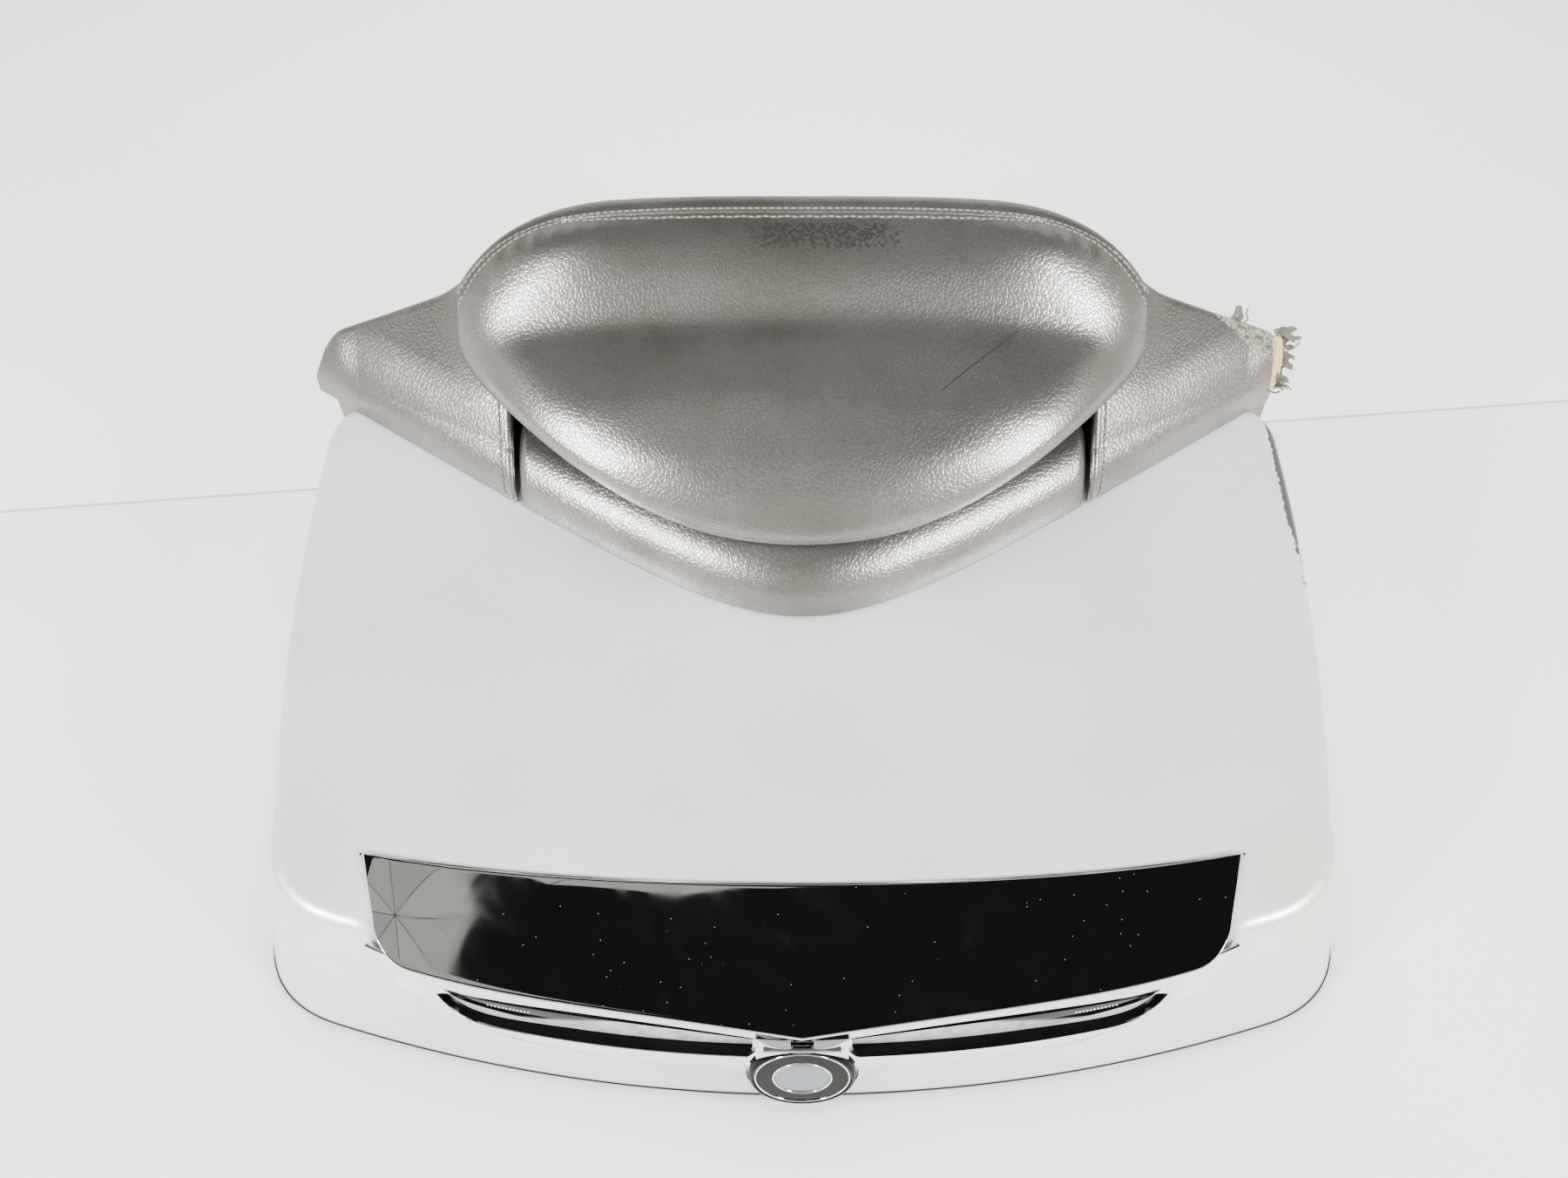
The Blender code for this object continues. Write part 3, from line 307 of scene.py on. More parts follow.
def pearl_vinyl(colours):
    """Pearl-pigmented vinyl with a pebble grain, drawn 2.7 mm across to show: soft metallic sheen."""
    finish, tree, shader, place = new_finish("pearl_vinyl", {
        "Coat Weight": 0.15, "Coat Roughness": 0.28, "IOR": 1.5,
    })
    wander = add_node(tree, "TexNoise", {"Scale": per_metre(4), "Detail": 3.0}, place)
    bent = add_node(tree, "Mix", {"data_type": "VECTOR", "Factor": 0.0011},
                    {"A": place["Vector"], "B": wander.outputs["Color"]})
    pebble = add_node(tree, "TexVoronoi", {"feature": "DISTANCE_TO_EDGE", "Scale": per_metre(2.7)},
                      {"Vector": bent})
    grain = add_node(tree, "ValToRGB", {"stops": ((0.0, 0.0), (0.22, 1.0))}, {"Fac": pebble})
    tone = add_node(tree, "TexNoise", {"Scale": per_metre(70), "Detail": 4.0}, place)
    base = add_node(tree, "ValToRGB", {"stops": ((0.3, "#7B766F"), (0.6, colours.vinyl))}, {"Fac": tone})
    creased = add_node(tree, "ValToRGB", {"stops": ((0.0, 0.8), (0.6, 1.0))}, {"Fac": grain})
    base = add_node(tree, "Mix", {"data_type": "RGBA", "blend_type": "MULTIPLY", "Factor": 0.7},
                    {"A": base, "B": creased})
    wear = add_node(tree, "Attribute", {"attribute_name": "wear"}, {}).outputs["Fac"]
    fleck = add_node(tree, "TexNoise", {"Scale": per_metre(2.0), "Detail": 3.0}, place)
    worn = add_node(tree, "Math", {"operation": "MULTIPLY"}, {0: wear, 1: fleck})
    rubbed = add_node(tree, "ValToRGB", {"stops": ((0.42, 0.0), (0.57, 0.8))}, {"Fac": worn})
    base = add_node(tree, "Mix", {"data_type": "RGBA", "B": "#5C5852"}, {"Factor": rubbed, "A": base})
    scratch = scratch_mask(tree, place)
    base = add_node(tree, "Mix", {"data_type": "RGBA", "B": "#6A665F"}, {"Factor": scratch, "A": base})
    bare = add_node(tree, "Attribute", {"attribute_name": "bare"}, {}).outputs["Fac"]
    fibre = add_node(tree, "TexNoise", {"Scale": per_metre(2.2), "Detail": 4.0}, place)
    ragged = add_node(tree, "Math", {"operation": "MULTIPLY_ADD", 1: 0.8, 2: -0.4}, {0: fibre})
    torn = add_node(tree, "Math", {"operation": "ADD"}, {0: bare, 1: ragged})
    opened = add_node(tree, "ValToRGB", {"stops": ((0.48, 0.0), (0.54, 1.0))}, {"Fac": torn})
    cloth = add_node(tree, "ValToRGB", {"stops": ((0.35, "#45443B"), (0.65, "#8F8D7E"))}, {"Fac": fibre})
    base = add_node(tree, "Mix", {"data_type": "RGBA"}, {"Factor": opened, "A": base, "B": cloth})
    metal = add_node(tree, "ValToRGB", {"stops": ((0.0, 0.88), (1.0, 0.0))}, {"Fac": opened})
    sheen = add_node(tree, "ValToRGB", {"stops": ((0.3, 0.33), (0.7, 0.26))}, {"Fac": tone})
    rough = add_node(tree, "Mix", {"data_type": "RGBA", "B": as_colour(0.95)},
                     {"Factor": opened, "A": sheen})
    height = add_node(tree, "Mix", {"data_type": "RGBA"},
                      {"Factor": opened, "A": grain, "B": fibre.outputs["Color"]})
    bump = add_node(tree, "Bump", {"Strength": 0.21, "Distance": 0.0004}, {"Height": height})
    feed(tree, shader, {"Base Color": base, "Metallic": metal, "Roughness": rough, "Normal": bump})
    return finish


def plain_finish(name, colour, roughness, grit_mm, depth, constants):
    """Material of one colour with a fine grit: noise varies its shade and roughness and raises a bump."""
    finish, tree, shader, place = new_finish(name, constants)
    grit = add_node(tree, "TexNoise", {"Scale": per_metre(grit_mm), "Detail": 3.0}, place)
    full = linear_rgb(colour)
    base = add_node(tree, "ValToRGB", {"stops": ((0.3, shaded(full, 0.78)), (0.7, full))}, {"Fac": grit})
    dull = min(1.0, roughness * 1.15)
    rough = add_node(tree, "ValToRGB", {"stops": ((0.3, roughness * 0.85), (0.7, dull))}, {"Fac": grit})
    bump = add_node(tree, "Bump", {"Strength": 0.3, "Distance": depth * MM}, {"Height": grit})
    feed(tree, shader, {"Base Color": base, "Roughness": rough, "Normal": bump})
    return finish


def smoked_polycarbonate():
    """Smoked polycarbonate lens: dark, clear and wet-looking, with a painted reflection streak (pale, dull,
    less clear) where the haze mask says.
    """
    finish, tree, shader, place = new_finish("smoked_polycarbonate", {
        "IOR": 1.585, "Specular IOR Level": 0.25,
    })
    haze = add_node(tree, "Attribute", {"attribute_name": "haze"}, {}).outputs["Fac"]
    # the haze mask marks a painted reflection streak; this noise only varies its grey
    dust = add_node(tree, "TexNoise", {"Scale": per_metre(7), "Detail": 4.0}, place)
    painted_reflection_grey = add_node(tree, "ValToRGB", {"stops": ((0.3, "#8F9092"), (0.7, "#B9BAB9"))}, {"Fac": dust})
    base = add_node(tree, "Mix", {"data_type": "RGBA", "A": "#0D0E10"}, {"Factor": haze, "B": painted_reflection_grey})
    clear = add_node(tree, "ValToRGB", {"stops": ((0.0, 0.5), (1.0, 0.0))}, {"Fac": haze})
    rough = add_node(tree, "ValToRGB", {"stops": ((0.0, 0.05), (1.0, 0.4))}, {"Fac": haze})
    feed(tree, shader, {"Base Color": base, "Transmission Weight": clear, "Roughness": rough})
    return finish


def painted_board(colours):
    """White-painted board: almost even, with a faint cloud. One paler half behind the case stands in for the
    backdrop wall, and a thin darker line between them is painted corner shade.
    """
    finish, tree, shader, place = new_finish("painted_board", {"Roughness": 0.5, "IOR": 1.45})
    cloud = add_node(tree, "TexNoise", {"Scale": per_metre(300), "Detail": 2.0}, place)
    full = linear_rgb(colours.floor)
    base = add_node(tree, "ValToRGB", {"stops": ((0.3, shaded(full, 0.96)), (0.7, full))}, {"Fac": cloud})
    own = add_node(tree, "Mapping", {"vector_type": "TEXTURE", "Location": (0, BACKDROP_LINE_Y, 0),
                                     "Rotation": (0, 0, BACKDROP_LINE_TURN)}, place)
    behind = add_node(tree, "SeparateXYZ", {}, {0: own}).outputs["Y"]
    near = add_node(tree, "Math", {"operation": "LESS_THAN", 1: 0.0}, {0: behind})
    base = add_node(tree, "Mix", {"data_type": "RGBA", "A": "#F1F0EC"}, {"Factor": near, "B": base})
    # thin darker line where backdrop and table meet: painted shade of their corner
    gap = add_node(tree, "Math", {"operation": "ABSOLUTE"}, {0: behind})
    line = add_node(tree, "Math", {"operation": "LESS_THAN", 1: CORNER_SHADE_HALF}, {0: gap})
    base = add_node(tree, "Mix", {"data_type": "RGBA", "B": "#BDB9AE"}, {"Factor": line, "A": base})
    feed(tree, shader, {"Base Color": base})
    return finish


def make_finishes(colours):
    """Every material by its slot or use; comments say what the real one gives the eye."""
    return {
        "paint": silver_lacquer(colours),
        "chrome": bright_chrome(colours),
        "vinyl": pearl_vinyl(colours),
        # moulded ABS: deep grey-black with a spark-eroded texture
        "abs": plain_finish("black_abs", "#2A2A2B", 0.55, 0.9, 0.05, {"IOR": 1.53}),
        # gloss acrylic over black: near mirror, no texture to see
        "gloss": plain_finish("black_acrylic", "#0A0A0B", 0.10, 30, 0.01,
                              {"IOR": 1.45, "Specular IOR Level": 0.1}),
        # smoked polycarbonate: clear, dark and wet-looking
        "lens": smoked_polycarbonate(),
        # cast epoxy: pale, clear and faintly lit
        "lamp": plain_finish("lamp_resin", "#F4F1E6", 0.15, 2, 0.02, {
            "IOR": 1.5, "Emission Color": linear_rgb("#FFF8EA"), "Emission Strength": 0.35,
        }),
        # zinc-plated steel: pale grey metal with a cloudy passivated bloom
        "steel": plain_finish("zinc_plated_steel", "#B9BCBF", 0.34, 6, 0.02, {"Metallic": 1.0}),
        # turned brass: warm yellow metal with fine tool marks
        "brass": plain_finish("turned_brass", "#C2A15A", 0.32, 3, 0.02, {"Metallic": 1.0}),
        # needle felt: matt black fibre
        "felt": plain_finish("needle_felt", "#2B2B2D", 0.95, 1.6, 0.5, {"Sheen Weight": 0.3}),
        # moulded rubber: matt black
        "rubber": plain_finish("epdm_rubber", "#1A1A1A", 0.75, 1.2, 0.06, {"IOR": 1.5}),
        # solder mask on a glass-fibre board: smooth dark green
        "board": plain_finish("solder_masked_board", "#1F4A33", 0.4, 4, 0.03, {"IOR": 1.5}),
        # bonded polyester thread: grey with a soft twist
        "thread": plain_finish("polyester_thread", "#8C867D", 0.7, 0.6, 0.08, {"IOR": 1.5}),
        # needle holes in the vinyl and painted shade of the sunk stitch groove: a dark line under the
        # stitches
        "needle_line": plain_finish("needle_holes_and_groove_shade", "#4B4842", 0.8, 1.0, 0.05, {"IOR": 1.5}),
        # knitted polyester backing: matt grey-green fuzz
        "backing": plain_finish("knitted_backing", "#6A695D", 0.95, 1.8, 0.8, {"Sheen Weight": 0.2}),
        # cut polyurethane foam: matt cream with open cells
        "foam": plain_finish("cut_foam", "#D8BE93", 0.9, 2.2, 0.5, {"IOR": 1.4}),
        # satin anodised aluminium: pale grey metal with a soft shine
        "disc": plain_finish("satin_aluminium", "#8E979F", 0.3, 0.8, 0.015, {"Metallic": 1.0}),
    }


def full_turn(steps):
    """Evenly spaced angles round one turn."""
    return np.linspace(0, 2 * pi, steps, endpoint=False)


def grid_of(first, second):
    """Two grids that run over every pair of values, the first one along the rows."""
    return np.meshgrid(first, second, indexing="ij")


def points_of(x, y, z):
    """Points from their coordinates, each an array or one number."""
    return np.stack(np.broadcast_arrays(x, y, z), axis=-1)


def grid_quads(rows, columns, closed=False):
    """Quads of a grid of points, row by row; a closed grid joins its last column to its first."""
    index = np.arange(rows * columns).reshape(rows, columns)
    if closed:
        index = np.concatenate([index, index[:, :1]], axis=1)
    corners = (index[:-1, :-1], index[:-1, 1:], index[1:, 1:], index[1:, :-1])
    return np.stack(corners, axis=-1).reshape(-1, 4)


def make_piece(name, points, quads, finish, slot, nodes=(), sharp=40.0, body="lid"):
    """Object from points in millimetres: welded, faces out, riding on its body in place of its CAD nodes."""
    mesh = bpy.data.meshes.new(name)
    mesh.from_pydata((points.reshape(-1, 3) * MM).tolist(), [], quads.tolist())
    shape = bmesh.new()
    shape.from_mesh(mesh)
    bmesh.ops.remove_doubles(shape, verts=shape.verts, dist=0.000002)
    if shape.calc_volume(signed=True) < 0:
        bmesh.ops.reverse_faces(shape, faces=shape.faces)
    shape.to_mesh(mesh)
    shape.free()
    mesh.materials.append(FINISHES[finish])
    mesh.shade_smooth()
    mesh.set_sharp_from_angle(angle=radians(sharp))
    piece = bpy.data.objects.new(name, mesh)
    bpy.context.scene.collection.objects.link(piece)
    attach(piece, body)
    if nodes:
        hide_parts(*nodes)
    return piece


def face_rearward(piece):
    """Turns an open sheet's faces round where most of them look forward."""
    shape = bmesh.new()
    shape.from_mesh(piece.data)
    if sum(face.normal.y * face.calc_area() for face in shape.faces) > 0:
        bmesh.ops.reverse_faces(shape, faces=shape.faces)
    shape.to_mesh(piece.data)
    shape.free()


def places_of(piece):
    """Vertex places of a piece in millimetres."""
    flat = np.empty(len(piece.data.vertices) * 3)
    piece.data.vertices.foreach_get("co", flat)
    return flat.reshape(-1, 3) / MM


def set_mask(piece, name, values):
    """Stores one number a vertex for the piece's material to read."""
    mask = piece.data.attributes.new(name, "FLOAT", "POINT")
    mask.data.foreach_set("value", np.ascontiguousarray(values, dtype=np.float32))


def slab_quads(rows, columns):
    """Quads of two grids, upper then lower, joined all round their border."""
    top = grid_quads(rows, columns)
    low = grid_quads(rows, columns)[:, ::-1] + rows * columns
    index = np.arange(rows * columns).reshape(rows, columns)
    rim = np.concatenate([index[0, :-1], index[:-1, -1], index[-1, :0:-1], index[:0:-1, 0]])
    after = np.roll(rim, -1)
    wall = np.stack([rim, rim + rows * columns, after + rows * columns, after], axis=-1)
    return np.concatenate([top, low, wall])


def make_slab(name, face, back, finish, slot, nodes=(), sharp=40.0):
    """Piece between two grids of points, joined all round their border."""
    points = np.concatenate([face.reshape(-1, 3), back.reshape(-1, 3)])
    return make_piece(name, points, slab_quads(*face.shape[:2]), finish, slot, nodes, sharp)


def make_round(name, grid, finish, slot, nodes=(), body="lid"):
    """Piece from rows of points that each close on themselves."""
    return make_piece(name, grid, grid_quads(*grid.shape[:2], closed=True), finish, slot, nodes, body=body)


def joined(grids):
    """Points and quads of several closed grids, one after another."""
    quads = []
    count = 0
    for grid in grids:
        quads.append(grid_quads(*grid.shape[:2], closed=True) + count)
        count += grid.shape[0] * grid.shape[1]
    return np.concatenate([grid.reshape(-1, 3) for grid in grids]), np.concatenate(quads)


def capped(tube):
    """Rows of a tube with each end drawn in to its middle."""
    ends = [part.mean(axis=1, keepdims=True) + 0 * part for part in (tube[:1], tube[-1:])]
    return np.concatenate([ends[0], tube, ends[1]])


def between(start, stop, share):
    return start + (stop - start) * share


def smooth_curve(xs, zs, at, width):
    """Value through outline points with rounded corners: a weighted mean of straight lines over a width."""
    weights = np.hanning(13)[1:-1]
    steps = np.linspace(-0.5, 0.5, 11) * width
    total = sum(weight * np.interp(at + step, xs, zs) for weight, step in zip(weights, steps))
    return total / weights.sum()


def smooth_step(value, low, high):
    share = np.clip((value - low) / (high - low), 0, 1)
    return share * share * (3 - 2 * share)


def bell(distance, spread):
    """Bell curve of height one."""
    return np.exp(-((distance / spread) ** 2))


def edge_drop(distance, radius):
    """How far a rounded edge falls away: a quarter circle of the radius, from the border inwards."""
    share = np.clip(1 - distance / radius, 0, 1)
    return radius * (1 - np.sqrt(1 - share * share))


def soft_fall(distance, depth):
    """How far a stuffed border falls away: the cube of the way out to it, over four times the depth."""
    return depth * np.clip(1 - distance / (4 * depth), 0, 1) ** 3


def plan_outline(plan, inset=0.0):
    """Closed plan of the case: bowed rear edge, drawn-out corners, sides that swell and a straight front."""
    rear, middle, front = (plan[key] - inset for key in ("rear", "middle", "front"))
    y_rear = plan["y_rear"] + inset
    y_front = plan["y_front"] - inset
    r_rear = max(plan["r_rear"] - 0.5 * inset, 12)
    r_front = max(plan["r_front"] - 0.5 * inset, 8)
    turn_x = rear - r_rear
    turn_y = y_rear + REAR_BOW * turn_x**2
    knee_y = turn_y + 2 * REAR_BOW * turn_x * r_rear
    side_low = knee_y + r_rear
    side_high = y_front - r_front
    swell = 2 * middle - (rear + front) / 2
    x = np.linspace(0, turn_x, 60, endpoint=False)
    runs = [(x, y_rear + REAR_BOW * x**2)]
    t = np.linspace(0, 1, 36, endpoint=False)
    runs.append(((1 - t) ** 2 * turn_x + (1 - (1 - t) ** 2) * rear,
                 (1 - t) ** 2 * turn_y + 2 * t * (1 - t) * knee_y + t * t * side_low))
    t = np.linspace(0, 1, 54, endpoint=False)
    runs.append(((1 - t) ** 2 * rear + 2 * t * (1 - t) * swell + t * t * front,
                 side_low + (side_high - side_low) * t))
    turn = np.linspace(0, pi / 2, 18, endpoint=False)
    runs.append((front - r_front + r_front * np.cos(turn), side_high + r_front * np.sin(turn)))
    x = np.linspace(front - r_front, 0, 34)
    runs.append((x, np.full_like(x, y_front)))
    half = np.concatenate([np.stack(run, axis=-1) for run in runs])
    return np.concatenate([half, half[-2:0:-1] * (-1, 1)])


def lid_top(x, y):
    """Height of the lid's top: a sloping, crowned plane, cut by the rear chamfer that fades to its ends."""
    top = 105.0 + 0.209 * (y + 150.0) + 6.0 * (1 - (x / 300.0) ** 2)
    slope = 78.0 + 0.53 * (y + 195.0 - 0.9 * REAR_BOW * x * x)
    rounded = -3.0 * np.logaddexp(-top / 3.0, -slope / 3.0)
    fade = np.minimum(1.0, (np.abs(x) / 228.0) ** 4)
    return rounded + (top - rounded) * fade


def rim_height(y):
    return RIM_Z + (FRONT_RIM_Z - RIM_Z) * np.clip((y - 140) / 50, 0, 1)


def lid_side(inset, radius, wall_rows, top_rows):
    """Rows of one skin of the lid: up the leaning wall, round the shoulder and in to the top's centre."""
    rim = plan_outline(RIM_PLAN, inset)
    shoulder = plan_outline(SHOULDER_PLAN, inset)
    rows = []
    low = rim_height(rim[:, 1])
    high = lid_top(shoulder[:, 0], shoulder[:, 1]) - radius - inset
    for share in np.linspace(0, 1, wall_rows):
        lean = share - WALL_SWELL * share * (1 - share)
        plan = rim + (shoulder - rim) * lean
        rows.append(np.column_stack([plan, low + (high - low) * share]))
    for turn in np.linspace(0, pi / 2, 9)[1:]:
        plan = plan_outline(SHOULDER_PLAN, inset + radius * (1 - np.cos(turn)))
        drop = radius * (1 - np.sin(turn)) + inset
        rows.append(np.column_stack([plan, lid_top(plan[:, 0], plan[:, 1]) - drop]))
    edge = rows[-1][:, :2]
    for scale in np.linspace(1, 0, top_rows)[1:]:
        plan = TOP_CENTRE + (edge - TOP_CENTRE) * scale
        rows.append(np.column_stack([plan, lid_top(plan[:, 0], plan[:, 1]) - inset]))
    return np.array(rows)


def hood_face(x, z):
    """Outer face of the trim hood and the lamps, as a Y value: bowed with the rear and leaning forward."""
    return -197.0 + 0.11 * (z - 36.0) + REAR_BOW * x * x + 4.0 * (np.abs(x) / HOOD_HALF) ** 4


def plate_low_y(x):
    return -195.0 + 0.128 * np.abs(x) + 5.0 * (np.abs(x) / PLATE_LOW_HALF) ** 6


def hood_high_z(x):
    return lid_top(x, plate_low_y(x)) + PLATE_LIFT - 6.5


def hood_low_z(x):
    return 33.0 + 3.5 * (x / 105) ** 2 + 29.0 * np.clip((np.abs(x) - 130) / 96, 0, None) ** 2.2


def slot_high_z(x):
    return 65.3 + 5.7 * np.clip((x - 100) / (SLOT_OUTER_X - 100), 0, None) ** 2


def slot_low_z(x):
    return 50.5 + 20.5 * np.clip((x - 100) / (SLOT_OUTER_X - 100), 0, None) ** 9


def slot_share(x, z):
    """Share of a lamp slot's height at which a point lies."""
    return (z - slot_low_z(x)) / (slot_high_z(x) - slot_low_z(x) + 0.01)


def trim_face(x, z):
    """Rear face of the hood, x from the middle out: bowed below the slot, set back to the plate above it."""
    held = np.clip(x, SLOT_INNER_X, SLOT_OUTER_X)
    middle = (slot_low_z(held) + slot_high_z(held)) / 2
    half = np.maximum((slot_high_z(held) - slot_low_z(held)) / 2, 6.0)
    back = plate_low_y(x) + BAND_SETBACK - hood_face(x, slot_high_z(held))
    return hood_face(x, z) + back * smooth_step(z, middle - half, middle + half)


def lens_face(x, share):
    """Face of a lamp lens: straight from its foot on the ledge to its head behind the band, and crowned."""
    held = np.clip(x, SLOT_INNER_X, SLOT_OUTER_X)
    low = trim_face(x, slot_low_z(held)) + LENS_LOW_DEPTH
    high = trim_face(x, slot_high_z(held)) + LENS_HIGH_DEPTH
    return between(low, high, share) - 0.8 * np.sin(pi * np.clip(share, 0, 1))


def bolster_edge_y(x):
    """Rear edge of the V-shaped bolster: a hyperbola with its nose on the middle plane."""
    return 25.0 + 0.66 * (np.sqrt(x * x + 70.0**2) - 70.0)


def silhouette(x):
    """Height of the backrest's outline as its front shows it."""
    return smooth_curve(SILHOUETTE_X, SILHOUETTE_Z, np.abs(x), 26)


def front_top(x):
    """Top edge of the front cushion: the outline, dropped a little behind the wings."""
    return silhouette(x) - 7 - 5.0 * smooth_step(np.abs(x), 150, 205)


def roll_rise(distance, reach):
    """Height of a bolster's rounded rear edge above its foot, over the reach of the roll."""
    share = np.clip(1 - distance / reach, 0, 1)
    return 3.0 + (BOLSTER_HEIGHT - 3.0) * np.sqrt(1 - share * share)


def wing_surface(x, v, end, soft):
    """A wing's top over its place along the edge and the share of its depth: plan Y, foot and height."""
    reach = BACK_SPLIT_Y - bolster_edge_y(x)
    y = bolster_edge_y(x) + reach * v
    foot = lid_top(x, y) + 1
    full = silhouette(x) - lid_top(x, np.full_like(x, BACK_SPLIT_Y))
    climb = np.clip(full - BOLSTER_HEIGHT, 0, None) * np.clip(v - 0.15, 0, None) / 0.85
    rise = np.minimum(full, roll_rise(reach * v, np.minimum(BOLSTER_ROLL, reach)) + climb)
    rise = rise - edge_drop(BACK_SPLIT_Y - y, 6) - edge_drop(x - WING_START_X, 4)
    rise = rise * (1 - 0.5 * edge_drop(end - x, soft) / soft)
    return y, foot, foot + np.maximum(rise, 2)


def pad_low_y(x):
    return PAD_PROFILE_Y[0] + 0.00176 * x**2 + 2.185e-8 * x**4


def pad_high_y(x):
    beyond = np.clip((np.abs(x) - 140) / (PAD_HALF - 140), 0, 1)
    return BACK_SPLIT_Y - 22.0 * beyond**1.4


def pad_body(x, y):
    """Rear face of the backrest before its edges are rounded: an upper roll, a crease and a broad belly."""
    z = smooth_curve(PAD_PROFILE_Y, PAD_PROFILE_Z, y, 20) - PAD_SIDE_DROP * (np.abs(x) / PAD_HALF) ** 3.5
    roll = bell(y - ROLL_Y, 16) * bell(np.abs(x) - ROLL_X, 34)
    crease = bell(y - CREASE_Y, 12) * (1 - smooth_step(np.abs(x), 60, 170))
    belly = bell(y - BELLY_Y, 34) * bell(x, 118)
    return z + 6.0 * roll - 3.0 * crease + 5.0 * belly


def pad_top(x, y, edge):
    """The pad's body, rounded off along its bottom, sides and top, and puckered at the top seam."""
    low_edge = edge * (0.3 + 0.35 * smooth_step(np.abs(x), 20, 120))
    border = y - pad_low_y(x)
    z = pad_body(x, y) - soft_fall(border, low_edge) - edge_drop(border, 3)
    z = z - soft_fall(PAD_HALF - np.abs(x), edge)
    seam = bell(pad_high_y(x) - y - 14, 7)
    pucker = 0.25 * np.sin(x / 2.1 + 0.9 * np.sin(x / 23)) * seam
    return z + pucker - edge_drop(pad_high_y(x) - y, edge * 0.7)


def on_axis(radius, height, turn):
    """Points round the lock axis: radius, height out from the badge's face, and angle from the top."""
    side = np.array((1.0, 0.0, 0.0))
    round_it = np.sin(turn)[..., None] * side + np.cos(turn)[..., None] * BADGE_UP
    return BADGE_CENTRE + radius[..., None] * round_it + height[..., None] * BADGE_OUT


def turned_points(profile, steps=96):
    """Surface of revolution about the lock axis, from its profile of radius and height."""
    radius, height = np.array(profile, dtype=float).T
    turn = full_turn(steps)
    radius, turn_grid = grid_of(radius, turn)
    height = np.broadcast_to(height[:, None], radius.shape)
    return on_axis(radius, height, turn_grid)


def sweep(path, across, out, half_width, half_height, sides=14):
    """Tube of an oval section along a path, its ends drawn in; across and out span the section."""
    half_width = np.broadcast_to(half_width, len(path))[:, None, None]
    half_height = np.broadcast_to(half_height, len(path))[:, None, None]
    turn = full_turn(sides)
    ring = np.cos(turn)[None, :, None] * across[:, None, :] * half_width
    ring = ring + np.sin(turn)[None, :, None] * out[:, None, :] * half_height
    ends = (path[:1, None] + ring[:1] * 0, path[:, None] + ring, path[-1:, None] + ring[-1:] * 0)
    return np.concatenate(ends)


def edge_cut(distance, width, slope):
    """How far a bevel falls away from its inner line to the border, with a soft inner line."""
    return slope * (np.sqrt(np.clip(width - distance, 0, None) ** 2 + 0.09) - 0.3)


def unit(vectors):
    return vectors / np.linalg.norm(vectors, axis=-1, keepdims=True)


def along(path):
    """Unit tangents of a path."""
    return unit(np.gradient(path, axis=0))


def stitches(path, out, length, radius):
    """Small sewn stitches: a round-ended bead at each place, laid along the path and half sunk."""
    tangent = along(path)
    side = unit(np.cross(tangent, out))
    turn = full_turn(8)
    reach = np.array((-1.0, -0.86, -0.4, 0.4, 0.86, 1.0)) * length / 2
    fat = np.array((0.0, 0.7, 1.0, 1.0, 0.7, 0.0)) * radius
    bead = path[:, None, None] + reach[None, :, None, None] * tangent[:, None, None]
    bead = bead + (fat[:, None] * np.cos(turn))[None, :, :, None] * side[:, None, None]
    return bead + (fat[:, None] * np.sin(turn))[None, :, :, None] * out[:, None, None]


